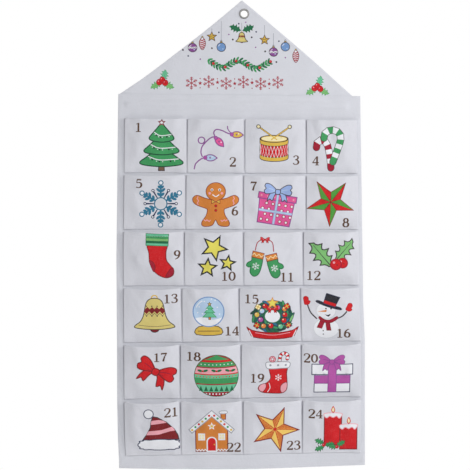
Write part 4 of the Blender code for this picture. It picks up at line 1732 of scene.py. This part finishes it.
    def build(self, pictures: list[Drawing], *materials: Material) -> Piece:
        """Print the flat strip and pleat it: the pictures go on the faces, and the cloth bends at
        columns of points set close together in the folds.

        Args:
            pictures: The drawing of each face, measured from its lower left corner.
            *materials: The materials of its front and its back.

        Returns:
            The piece.
        """
        length, back = self.stretches[-1].end / MM, math.pi * self.hem_back / 2
        low, high = -self.allowance / MM, self.height / MM
        top = high + (back + self.hem) / MM
        folds = [np.linspace(part.start, part.end, part.leg.value[1] + 1) for part in self.stretches]
        folds = np.unique(np.round(np.concatenate(folds) / MM, 4))
        spots, drawing = [gridded(folds, np.linspace(low, high, 41))], Drawing()
        edge = [(0, high), (0, low), (length, low), (length, high)]
        turns = high + back / MM * np.linspace(0, 1, 7)
        turns = np.concatenate([turns, np.linspace(turns[-1], top, 4)[1:]])
        for part in self.faces:
            left, right, inset = part.start / MM, part.end / MM, self.hem_inset / MM
            count = round((right - left) / self.grid) + 1
            ticks = np.linspace(left + inset, right - inset, count)
            spots.append(lattice((left + 0.6, low + 1), (right - 0.6, high - 1.8), self.grid))
            spots += [gridded(np.linspace(left, right, count), (low, 0)), gridded(ticks, turns)]
            edge[4:4] = [(ticks[-1], high), (ticks[-1], top), (ticks[0], top), (ticks[0], high)]
            drawing.add(pictures[part.column], left, 0)
        cut = FlatCut.lay_out([np.array(edge)], drawing, np.vstack(spots))
        flat, name = cut.places * MM, f"pocket_strip_{self.row + 1}_cloth"
        mesh = Mesh(name, self.surface(*flat.T), [cut.triangles], cut.inks, flat + (0, self.flat_step * self.row))
        return mesh.thickened(self.plan.cloth * self.thinner, *materials)

    def runs(self) -> list[Pair]:
        """The lines of stitches: along the mouths' hems, along the bottom, and up beside each pocket.

        Returns:
            The runs.
        """
        share, up = np.linspace(0.01, 0.99, 60), np.linspace(0.0, self.height - 0.0006, 60)
        low = [part for part in self.stretches if part.leg in (Leg.FACE, Leg.TAB)]
        lines = [(part.start + part.length * share, self.height - self.hem_seam + 0 * share) for part in self.faces]
        lines += [(part.start + part.length * share, self.bottom_seam + 0 * share) for part in low]
        starts = [part.start for part in self.stretches if part.leg is Leg.LOWER and part.way > 0]
        lines += [(place + 0 * up, up) for place in [*starts, self.stretches[-1].start]]
        return [self.front_run(*line) for line in lines]

    def front_run(self, along: Points, up: Points, step: float = 0.0004) -> Pair:
        """Put a line of stitches on the front of the strip, by the cross product of its two ways.

        Args:
            along: Flat places along the strip.
            up: Flat places above the bottom seam.
            step: How far apart the places are that give its ways.

        Returns:
            The path and its normals.
        """
        here = self.surface(along, up)
        sideways = self.surface(along + step, up) - self.surface(along - step, up)
        normal = unit(np.cross(sideways, here - self.surface(along, up - step)))
        return here + normal * self.plan.cloth * self.thinner / 2, normal


def joined(rows: int, columns: int, wrap: bool = False) -> Points:
    """Join a grid of points that closes on itself across, row by row, into four-sided faces.

    Args:
        rows: How many rows of points it has.
        columns: How many points a row has.
        wrap: Whether the last row joins the first one.

    Returns:
        The faces.
    """
    row, column = np.indices((rows if wrap else rows - 1, columns)).reshape(2, -1)
    here, after, beside = row * columns, (row + 1) % rows * columns, (column + 1) % columns
    return np.column_stack([here + column, after + column, after + beside, here + beside])


@dataclass
class Stitching:
    """Rows of thread stitches: one small arched tube, repeated along each path."""

    name: str
    runs: list[Pair]
    pitch: float = 0.0031
    length: float = 0.0023
    radius: float = 0.00024
    arch: float = 0.00022
    sunk: float = 0.4
    stations: int = 5
    sides: int = 5

    def stitch(self) -> Points:
        """One stitch lying along x with z away from the cloth: rings round an arched line, whose
        height is a parabola, and whose radius shrinks towards both ends.

        Returns:
            Its points.
        """
        share = np.linspace(-1, 1, self.stations)[:, None]
        turn = np.linspace(0, 2 * math.pi, self.sides, endpoint=False)
        thick = self.radius * np.sqrt(1.08 - share**2)
        up = self.arch * (1 - share**2 - self.sunk) + thick * np.sin(turn)
        return np.stack([share * self.length / 2 + 0 * turn, thick * np.cos(turn), up], axis=-1).reshape(-1, 3)

    def build(self, material: Material) -> Piece:
        """Set a stitch at every pitch of each path, by its running length, in the frame of the
        path's own direction and the cloth's normal there.

        Args:
            material: The thread's material.

        Returns:
            The piece.
        """
        rows, half = [], self.length / 2
        for path, normal in self.runs:
            length = running(path)
            count = max(int(length[-1] / self.pitch), 1)
            places = (np.arange(count) + 0.5) * length[-1] / count
            low, centre, high = (along_path(places + shift, length, path) for shift in (-half, 0, half))
            rows.append(np.hstack([centre, high - low, along_path(places, length, normal)]))
        centre, way, normal = np.split(np.vstack(rows), 3, axis=1)
        way = unit(way)
        side = unit(np.cross(normal, way))
        shape, axes = self.stitch(), np.stack([way, side, np.cross(way, side)], axis=1)
        vertices = np.einsum("pk,nkc->npc", shape, axes) + centre[:, None, :]
        first = (np.arange(len(centre)) * len(shape))[:, None, None]
        ends = np.array([np.arange(self.sides)[::-1], np.arange(self.sides) + len(shape) - self.sides])
        faces = [(part + first).reshape(-1, part.shape[1]) for part in (joined(self.stations, self.sides), ends)]
        LOG.info("%s has %d stitches", self.name, len(centre))
        return Mesh(self.name, vertices.reshape(-1, 3), faces).build(material)


@dataclass
class Eyelet:
    """The metal eyelet in the gable: a domed rim, a barrel through the cloth, a lip rolled over
    behind and the washer that it clasps."""

    bore: float = 0.0068
    wall: float = 0.0005
    rim_radius: float = 0.010
    rim_height: float = 0.0012
    lip_width: float = 0.0018
    lip_height: float = 0.0005
    cloth: float = 0.0006
    gap: float = 0.0003
    washer: float = 0.0005
    washer_edge: float = 0.00012
    steps: int = 96

    def dome(self, inner: float, outer: float, base: float, height: float, way: int) -> Points:
        """A rounded shoulder between two radii: across it goes as a cosine, and up as a sine raised
        to a power that flattens its top.

        Args:
            inner: Radius at its inner foot.
            outer: Radius at its outer foot.
            base: The distance forward of its feet.
            height: How high it stands.
            way: 1 for a dome that stands forward and runs outwards, -1 for its opposite.

        Returns:
            Its points.
        """
        angle = np.linspace(0, math.pi, 17)
        radius = (inner + outer) / 2 - way * (outer - inner) / 2 * np.cos(angle)
        return np.column_stack([radius, base + way * height * np.sin(angle) ** 0.8])

    def revolved(self, name: str, profile: Points, material: Material) -> Piece:
        """Carry a closed profile round the axis: each point keeps its radius and its distance forward.

        Args:
            name: The piece's name.
            profile: The radii and distances forward.
            material: The metal.

        Returns:
            The piece.
        """
        angle = np.linspace(0, 2 * math.pi, self.steps, endpoint=False)[:, None]
        radius, forward = profile.T
        points = np.stack([radius * np.cos(angle), 0 * angle - forward, radius * np.sin(angle)], axis=-1)
        return Mesh(name, points.reshape(-1, 3), [joined(self.steps, len(profile), True)]).build(material)

    def build(self, material: Material) -> list[Piece]:
        """Make the eyelet and its washer.

        Args:
            material: The metal.

        Returns:
            The two pieces.
        """
        barrel, outer = self.bore + self.wall, self.rim_radius
        front, back = self.cloth + self.gap, -(2 * self.gap + self.washer)
        rim = self.dome(self.bore, outer, front, self.rim_height, 1)
        lip = self.dome(self.bore, barrel + self.lip_width, back, self.lip_height, -1)
        eyelet = np.vstack([rim, [(barrel, front), (barrel, back)], lip])
        inner, edge, low, high = barrel + self.gap, self.washer_edge, -(self.gap + self.washer), -self.gap
        plate = [(inner, low + edge), (inner, high - edge), (inner + edge, high), (outer - edge, high)]
        plate += [(outer, high - edge), (outer, low + edge), (outer - edge, low), (inner + edge, low)]
        rings = (("eyelet_ring", eyelet), ("eyelet_back_washer", np.array(plate)))
        return [self.revolved(name, profile, material) for name, profile in rings]


class Wiring:
    """A node tree in the making."""

    def __init__(self, tree: bpy.types.NodeTree) -> None:
        """Take the tree and clear it."""
        self.tree = tree
        tree.nodes.clear()

    def node(self, kind: str, **values: object) -> bpy.types.Node:
        """Add a node.

        Args:
            kind: Its type without the ShaderNode in front.
            **values: Settings of the node, and its inputs by name or by number after "at".

        Returns:
            The node.
        """
        made = self.tree.nodes.new(kind if kind.startswith("Node") else f"ShaderNode{kind}")
        for name, value in values.items():
            if hasattr(made, name):
                setattr(made, name, value)
                continue
            key: int | str = int(name[2:]) if name[:2] == "at" else name.replace("_", " ")
            if isinstance(value, Socket):
                self.tree.links.new(value, made.inputs[key])
            else:
                made.inputs[key].default_value = value
        return made

    def out(self, kind: str, output: int | str = 0, **values: object) -> Socket:
        """Add a node and take an output of it, the first one if none is named."""
        return self.node(kind, **values).outputs[output]

    def math(self, operation: str, *values: float | Socket) -> Socket:
        """Add a Math node and take its result."""
        return self.out("Math", operation=operation, **{f"at{place}": value for place, value in enumerate(values)})

    def scaled(self, value: Socket, by: float, plus: float | Socket) -> Socket:
        """Multiply a value and add to it, by two Math nodes."""
        return self.math("ADD", self.math("MULTIPLY", value, by), plus)

    def noise(self, place: Socket, **values: float | Socket) -> Socket:
        """Add a noise texture and take its value."""
        return self.out("TexNoise", "Fac", Vector=place, **values)

    def blend(self, share: float | Socket, first: object, second: object, way: str = "MIX") -> Socket:
        """Add a Mix node that takes a share of the second colour, and take its result."""
        return self.out("Mix", 2, data_type="RGBA", blend_type=way, at0=share, at6=first, at7=second)

    def toned(self, colour: object, shade: Socket) -> Socket:
        """Multiply a colour by a shade of grey."""
        return self.blend(1.0, colour, self.out("CombineColor", at0=shade, at1=shade, at2=shade), "MULTIPLY")

    def bump(self, height: Socket, strength: float, distance: float, **under: Socket) -> Socket:
        """Add a Bump node and take its normal."""
        return self.out("Bump", Strength=strength, Distance=distance, Height=height, **under)

    def finish(self, **values: object) -> None:
        """End a material in a Principled BSDF with these inputs."""
        self.node("OutputMaterial", Surface=self.out("BsdfPrincipled", **values))


def new_group(name: str, inputs: dict[str, float | None], outputs: tuple[str, str]) -> tuple[Wiring, list[Socket]]:
    """Start a shader node group, whose first input is a place.

    Args:
        name: Its name.
        inputs: Its further inputs, each with its value.
        outputs: The names of its outputs, which are values.

    Returns:
        The wiring of the group and the sockets of its inputs inside it.
    """
    tree = bpy.data.node_groups.new(name, "ShaderNodeTree")
    tree.interface.new_socket(name="Place", in_out="INPUT", socket_type="NodeSocketVector")
    for label, value in inputs.items():
        tree.interface.new_socket(name=label, in_out="INPUT", socket_type="NodeSocketFloat").default_value = value
    for label in outputs:
        tree.interface.new_socket(name=label, in_out="OUTPUT", socket_type="NodeSocketFloat")
    wiring = Wiring(tree)
    return wiring, list(wiring.node("NodeGroupInput").outputs)


class Effects:
    """The shader node groups that the finishes share."""

    def __init__(self) -> None:
        """Build every group once."""
        self.weave = self.plain_weave()
        self.crumple = self.cloth_crumple()
        self.wear = self.fine_scratches()

    def plain_weave(self) -> bpy.types.NodeTree:
        """Plain weave: round threads both ways, the one on top changing from crossing to crossing.
        Height is the sine across the thread on top, and Tone its slubs, paler and darker.

        Returns:
            The group.
        """
        wiring, given = new_group("plain_weave", {"Threads": 1500.0, "Slubs": 0.5}, ("Height", "Tone"))
        place, threads, slubs = given[:3]
        parts = wiring.node("SeparateXYZ", at0=wiring.out("VectorMath", operation="SCALE", at0=place, Scale=threads))
        ways = parts.outputs[:2]
        warp, weft = (wiring.math("SINE", wiring.math("MULTIPLY", wiring.math("FRACT", way), math.pi)) for way in ways)
        over = wiring.math("PINGPONG", wiring.math("ADD", *(wiring.math("FLOOR", way) for way in ways)), 1.0)
        tops = [wiring.scaled(warp, share, wiring.math("MULTIPLY", weft, 1.0 - share)) for share in (0.4, 0.6)]
        height = wiring.out("Mix", data_type="FLOAT", at0=over, at2=tops[0], at3=tops[1])
        slub = [
            wiring.noise(wiring.out("VectorMath", operation="MULTIPLY", at0=place, at1=way), Scale=1.0, Detail=1.0)
            for way in ((2600.0, 90.0, 1.0), (90.0, 2600.0, 1.0))
        ]
        tone = wiring.math("SUBTRACT", wiring.out("Mix", data_type="FLOAT", at0=over, at2=slub[0], at3=slub[1]), 0.5)
        wiring.node("NodeGroupOutput", Height=height, Tone=wiring.math("MULTIPLY", tone, slubs))
        return wiring.tree

    def cloth_crumple(self) -> bpy.types.NodeTree:
        """Handled cloth: soft dents and fine creases. Height is a wide noise plus the sharp valleys
        of a narrower one, and Tone the wide noise alone: painted shade, darker in the dents and paler on the rises.

        Returns:
            The group.
        """
        wiring, given = new_group("cloth_crumple", {"Size": 30.0}, ("Height", "Tone"))
        place, size = given[:2]
        wide = wiring.noise(place, Scale=size, Detail=3.0)
        fine = wiring.noise(place, Scale=wiring.math("MULTIPLY", size, 2.3), Detail=2.0, Distortion=0.8)
        valley = wiring.math("ABSOLUTE", wiring.math("SUBTRACT", fine, 0.5))
        crease = wiring.math("MINIMUM", wiring.math("MULTIPLY", valley, 9.0), 1.0)
        # Tone follows the same wide noise as Height: painted shade in the dents wherever Height also bumps the surface.
        wiring.node(
            "NodeGroupOutput", Height=wiring.scaled(crease, 0.16, wide), Tone=wiring.math("SUBTRACT", wide, 0.5)
        )
        return wiring.tree

    def fine_scratches(self) -> bpy.types.NodeTree:
        """Worn plate: Scratch is a noise stretched round the ring, and Dull the places that have
        lost their shine.

        Returns:
            The group.
        """
        wiring, given = new_group("fine_scratches", {}, ("Scratch", "Dull"))
        x, _, z = wiring.node("SeparateXYZ", at0=given[0]).outputs
        reach = wiring.math("SQRT", wiring.math("ADD", *(wiring.math("POWER", way, 2.0) for way in (x, z))))
        angle = wiring.math("MULTIPLY", wiring.math("ARCTAN2", x, z), 3.0)
        polar = wiring.out("CombineXYZ", X=wiring.math("MULTIPLY", reach, 9000.0), Y=angle)
        scratch = wiring.noise(polar, Scale=1.0, Detail=3.0)
        wiring.node("NodeGroupOutput", Scratch=scratch, Dull=wiring.noise(given[0], Scale=420.0, Detail=4.0))
        return wiring.tree


def new_material(name: str) -> tuple[Material, Wiring, Socket]:
    """Start a material.

    Args:
        name: Its name.

    Returns:
        The material, its wiring, and the place on the piece that it colours.
    """
    material = bpy.data.materials.new(name)
    material.use_nodes = True
    wiring = Wiring(material.node_tree)
    return material, wiring, wiring.out("TexCoord", "Object")


@dataclass(frozen=True)
class ClothFinish:
    """White cotton with its print: how much of the ink shows, and how the cloth is woven."""

    name: str
    colour: Colour
    ink: float
    threads: float = 1500.0
    slubs: float = 0.34
    worn: float = -0.9
    weave_depth: float = 0.00010
    crumple_depth: float = 0.0011
    crumple_size: float = 26.0
    roughness: float = 0.82
    sheen: float = 0.06

    def build(self, effects: Effects) -> Material:
        """Wire the finish: the print's colour over the cloth's, toned by the weave's slubs and by painted shade in the
        crumples' dents.

        Args:
            effects: The shared groups.

        Returns:
            The material.
        """
        material, wiring, place = new_material(self.name)
        flat = wiring.out("UVMap", uv_map=FLAT)
        weave = wiring.node("Group", node_tree=effects.weave, Place=flat, Threads=self.threads, Slubs=self.slubs)
        crumple = wiring.node("Group", node_tree=effects.crumple, Place=place, Size=self.crumple_size)
        thread, slub = weave.outputs
        printed = wiring.node("Attribute", attribute_name=PRINT)
        cover = wiring.math("MULTIPLY", printed.outputs["Alpha"], self.ink)
        worn = wiring.scaled(wiring.math("MULTIPLY", cover, slub), self.worn, cover)
        worn = wiring.math("MINIMUM", wiring.math("MAXIMUM", worn, 0.0), 1.0)
        colour = wiring.blend(worn, (*self.colour, 1.0), printed.outputs["Color"])
        # The slubs are the cloth's own tone; the crumple Tone is painted shade, darker in the dents that the crumple
        # bump makes.
        shade = wiring.scaled(wiring.scaled(crumple.outputs["Tone"], 0.10, slub), 0.5, 0.985)
        wide = wiring.bump(crumple.outputs["Height"], 0.5, self.crumple_depth)
        wiring.finish(
            Base_Color=wiring.toned(colour, shade), Roughness=wiring.scaled(thread, 0.08, self.roughness),
            Normal=wiring.bump(thread, 0.6, self.weave_depth, Normal=wide), Sheen_Weight=self.sheen,
            Sheen_Roughness=0.5, Specular_IOR_Level=0.25,
        )
        return material


@dataclass(frozen=True)
class ThreadFinish:
    """White sewing thread, with the twist of its plies."""

    name: str = "sewing_thread"
    colour: Colour = (0.74, 0.75, 0.79)

    def build(self, effects: Effects) -> Material:
        """Wire the finish: slanting waves for the twist in height, and the same waves as painted shade, darker in the
        grooves between the plies.

        Args:
            effects: The shared groups.

        Returns:
            The material.
        """
        material, wiring, place = new_material(self.name)
        twist = wiring.out("TexWave", "Fac", Vector=place, bands_direction="DIAGONAL", Scale=900.0, Distortion=0.6)
        crumple = wiring.out("Group", "Tone", node_tree=effects.crumple, Place=place, Size=60.0)
        # The twist waves darken the grooves between plies as painted shade; the crumple tone is the thread's own random
        # tone.
        shade = wiring.scaled(crumple, 0.08, wiring.scaled(twist, 0.12, 0.90))
        wiring.finish(
            Base_Color=wiring.toned((*self.colour, 1.0), shade), Roughness=0.62,
            Normal=wiring.bump(twist, 0.5, 0.00006), Sheen_Weight=0.1,
        )
        return material


@dataclass(frozen=True)
class NickelFinish:
    """Smoky nickel plate that nails and hooks have scratched."""

    name: str = "eyelet_nickel"
    colour: Colour = (0.16, 0.157, 0.154)

    def build(self, effects: Effects) -> Material:
        """Wire the finish: roughness and tone from the scratches and dull places.

        Args:
            effects: The shared groups.

        Returns:
            The material.
        """
        material, wiring, place = new_material(self.name)
        scratch, dull = wiring.node("Group", node_tree=effects.wear, Place=place).outputs
        colour = wiring.toned((*self.colour, 1.0), wiring.scaled(dull, 0.3, 0.82))
        rough, normal = wiring.scaled(scratch, 0.16, 0.34), wiring.bump(scratch, 0.15, 0.00003)
        wiring.finish(Base_Color=colour, Metallic=1.0, Roughness=rough, Normal=normal)
        return material


@dataclass(frozen=True)
class WoodFinish:
    """Bare turned softwood, with its grain along x."""

    name: str = "rod_softwood"
    pale: Colour = (0.66, 0.48, 0.29)
    dark: Colour = (0.46, 0.29, 0.15)

    def build(self) -> Material:
        """Wire the finish: a noise stretched along the rod for its grain.

        Returns:
            The material.
        """
        material, wiring, place = new_material(self.name)
        along = wiring.out("Mapping", Vector=place, Scale=(9.0, 900.0, 900.0))
        grain = wiring.noise(along, Scale=1.0, Detail=5.0, Distortion=0.3)
        colour = wiring.blend(grain, (*self.dark, 1.0), (*self.pale, 1.0))
        rough, normal = wiring.scaled(grain, 0.2, 0.5), wiring.bump(grain, 0.3, 0.0001)
        wiring.finish(Base_Color=colour, Roughness=rough, Normal=normal)
        return material


@dataclass
class Studio:
    """The camera at the photograph's angle, soft lamps, a white surround and a pale floor."""

    target: tuple[float, float, float] = (-0.0184, -0.006, -0.4345)
    distance: float = 2.2
    turn: float = 4.3
    across: float = 0.9207
    sensor: float = 36.0
    floor_z: float = -1.2
    lamps: tuple[tuple[str, tuple[float, float, float], float, float], ...] = (
        ("front_lamp", (0.5, -2.7, 0.15), 1.2, 37.0),
        ("side_lamp", (2.3, -1.2, 0.35), 0.9, 27.5),
        ("back_lamp", (-0.8, 2.6, 0.5), 1.2, 24.0),
    )
    fill: float = 0.18

    def build(self) -> None:
        """Set up the view, the lamps, the world and the floor."""
        self.camera()
        for lamp in self.lamps:
            self.lamp(*lamp)
        self.world()
        self.floor()
        bpy.context.scene.view_settings.view_transform = "Standard"

    def stand(self, name: str, data: bpy.types.ID, place: Vector, ahead: Vector) -> Piece:
        """Stand a camera or a lamp.

        Args:
            name: Its name.
            data: What it is.
            place: Where it stands.
            ahead: The way that it faces.

        Returns:
            Its object.
        """
        made = bpy.data.objects.new(name, data)
        made.location = place
        made.rotation_euler = ahead.to_track_quat("-Z", "Y").to_euler()
        bpy.context.scene.collection.objects.link(made)
        return made

    def camera(self) -> None:
        """Stand the camera a little to the left, level with the middle of the hanging."""
        data = bpy.data.cameras.new("camera")
        data.sensor_width = self.sensor
        data.lens = self.sensor * self.distance / self.across
        angle = math.radians(self.turn)
        away = Vector((-math.sin(angle), -math.cos(angle), 0))
        bpy.context.scene.camera = self.stand("camera", data, Vector(self.target) + away * self.distance, -away)

    def lamp(self, name: str, place: tuple[float, float, float], size: float, power: float) -> None:
        """Hang a square lamp that faces the middle of the hanging.

        Args:
            name: The lamp's name.
            place: Where it hangs.
            size: How wide it is.
            power: Its power in watts.
        """
        data = bpy.data.lights.new(name, "AREA")
        data.shape, data.size, data.energy = "SQUARE", size, power
        self.stand(name, data, Vector(place), Vector(self.target) - Vector(place))

    def world(self) -> None:
        """Light the object evenly from all round, and show white to the camera and to metal."""
        world = bpy.data.worlds.new("surround")
        world.use_nodes = True
        bpy.context.scene.world = world
        wiring = Wiring(world.node_tree)
        rays = wiring.node("LightPath").outputs
        seen = wiring.math("MAXIMUM", rays["Is Camera Ray"], rays["Is Glossy Ray"])
        seen = wiring.math("MAXIMUM", seen, rays["Is Transmission Ray"])
        strength = wiring.scaled(seen, 1.0 - self.fill, self.fill)
        sky = wiring.out("Background", Color=(1.0, 1.0, 1.0, 1.0), Strength=strength)
        wiring.node("OutputWorld", Surface=sky)

    def floor(self) -> None:
        """Lay the pale floor below the hanging, out of the photograph's frame."""
        material, wiring, place = new_material("pale_floor")
        speckle = wiring.noise(place, Scale=60.0, Detail=3.0)
        colour = wiring.blend(speckle, (0.80, 0.80, 0.81, 1.0), (0.86, 0.86, 0.86, 1.0))
        wiring.finish(Base_Color=colour, Roughness=0.7)
        across = [(-2.5, -2.0), (2.5, -2.0), (2.5, 1.2), (-2.5, 1.2)]
        places = np.array([(*place, self.floor_z) for place in across])
        Mesh("floor", places, [np.array([[0, 1, 2, 3]])]).build(material)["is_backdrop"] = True


@dataclass
class Calendar:
    """The whole hanging: every piece, in the order in which it is sewn."""

    plan: Plan = field(default_factory=Plan)
    effects: Effects = field(default_factory=Effects)
    front_colour: Colour = (0.70, 0.71, 0.765)
    strip_colour: Colour = (0.70, 0.705, 0.76)
    hem_seam: float = 0.0015
    slope_seam: float = 0.0012
    channel_ends: tuple[float, float] = (0.010, 0.008)
    channel_seams: tuple[float, float] = (0.0040, 0.0035)

    def put(self, piece: Piece, slot: str, *nodes: str) -> Piece:
        """Let a piece ride on the body, and stand for its nodes.

        Args:
            piece: The piece.
            slot: Not used.
            *nodes: The nodes that it stands for.

        Returns:
            The piece.
        """
        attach(piece, "root")
        if nodes:
            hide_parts(*nodes)
        LOG.info("%s: %d vertices", piece.name, len(piece.data.vertices))
        return piece

    def cloth(self, name: str, colour: Colour, show: float, **more: float) -> list[Material]:
        """The materials of a printed cloth's front, and of its back where a little ink shows."""
        sides = (("front", 1.0), ("back", show))
        return [ClothFinish(f"{name}_{side}", colour, ink, **more).build(self.effects) for side, ink in sides]

    def build(self) -> None:
        """Make every piece of the hanging."""
        thread = ThreadFinish().build(self.effects)
        self.panels(thread)
        self.pockets(thread)
        metal = NickelFinish().build(self.effects)
        for piece, node in zip(Eyelet().build(metal), ("eyelet", "eyelet_washer")):
            self.put(piece, "eyelet_metal", node)
        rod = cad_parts["spreader_rod"]
        rod.data.materials.clear()
        rod.data.materials.append(WoodFinish().build())

    def panels(self, thread: Material) -> None:
        """Make the backing and the gable, and the stitches of their hems and of the rod's channel.

        Args:
            thread: The thread's material.
        """
        plan, cloth = self.plan, self.cloth("backing", self.front_colour, 0.10)
        body = HemmedCloth(plan, "backing_cloth", body_outline(plan), plan.body_y, plan.hem, -1, 5)
        gable = HemmedCloth(
            plan, "gable_cloth", gable_outline(plan), plan.gable_y, plan.gable_hem, 1, 8,
            drawing=GablePrint().drawing(), hole=plan.hole_radius, grid=3.5,
        )
        self.put(body.build(*cloth), "white_cloth", "body_panel")
        self.put(gable.build(*cloth), "white_cloth", "gable_panel")
        self.declare(body)
        self.declare(gable)
        left, right = plan.gable_left + self.channel_ends[0], plan.gable_right - self.channel_ends[1]
        heights = plan.shoulder - self.channel_seams[0], plan.tab_bottom + self.channel_seams[1]
        channel = [body.line(left, right, height) for height in heights]
        hems, slopes = body.seams(plan.hem - self.hem_seam), gable.seams(plan.gable_hem - self.slope_seam)
        self.put(Stitching("hem_stitches", hems).build(thread), "white_cloth")
        self.put(Stitching("gable_stitches", slopes + channel).build(thread), "white_cloth")

    def pockets(self, thread: Material) -> None:
        """Make the six strips of pockets and their stitches, from the top row down.

        Args:
            thread: The thread's material.
        """
        prints, cloth = PocketPrints(), self.cloth("pocket", self.strip_colour, 0.16, threads=1700.0)
        for row in range(6):
            strip = PocketStrip(self.plan, row)
            lefts = [seam + strip.inset(column) for column, seam in enumerate(strip.seams[:-1])]
            pictures = [prints.face(row * 4 + at, left, strip.seam_z) for at, left in enumerate(lefts, 1)]
            piece = self.put(strip.build(pictures, *cloth), "pocket_cloth", f"pocket_strip_row_{row + 1}")
            length, cut, area = strip.flat_size()
            self.put(Stitching(f"pocket_stitches_{row + 1}", strip.runs()).build(thread), "pocket_cloth")

    def declare(self, panel: HemmedCloth) -> None:
        """Work out the flat size to which a panel was cut, with its hem, and its area, without keeping them.

        Args:
            panel: The backing or the gable.
        """
        start, end = panel.outline, np.roll(panel.outline, -1, 0)
        size = np.ptp(start, axis=0) + 2 * panel.hem
        area = abs(float(np.sum(start[:, 0] * end[:, 1] - start[:, 1] * end[:, 0]))) / 2
        area = min(area + float(running(np.vstack([start, start[:1]]))[-1]) * panel.hem, float(size[0] * size[1]))


def corners(box: tuple[Vector, Vector]) -> list[list[float]]:
    """A box as plain lists of numbers."""
    return [[float(value) for value in corner] for corner in box]


def main() -> None:
    """Build the hanging and the studio round it, and work out both sizes."""
    logging.basicConfig(level=logging.INFO, format="%(name)s: %(message)s")
    cad_box = corners(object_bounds())
    Calendar().build()
    Studio().build()
    bpy.context.view_layer.update()
    {"cad": cad_box, "visual": corners(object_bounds())}


if __name__ == "__main__":
    main()
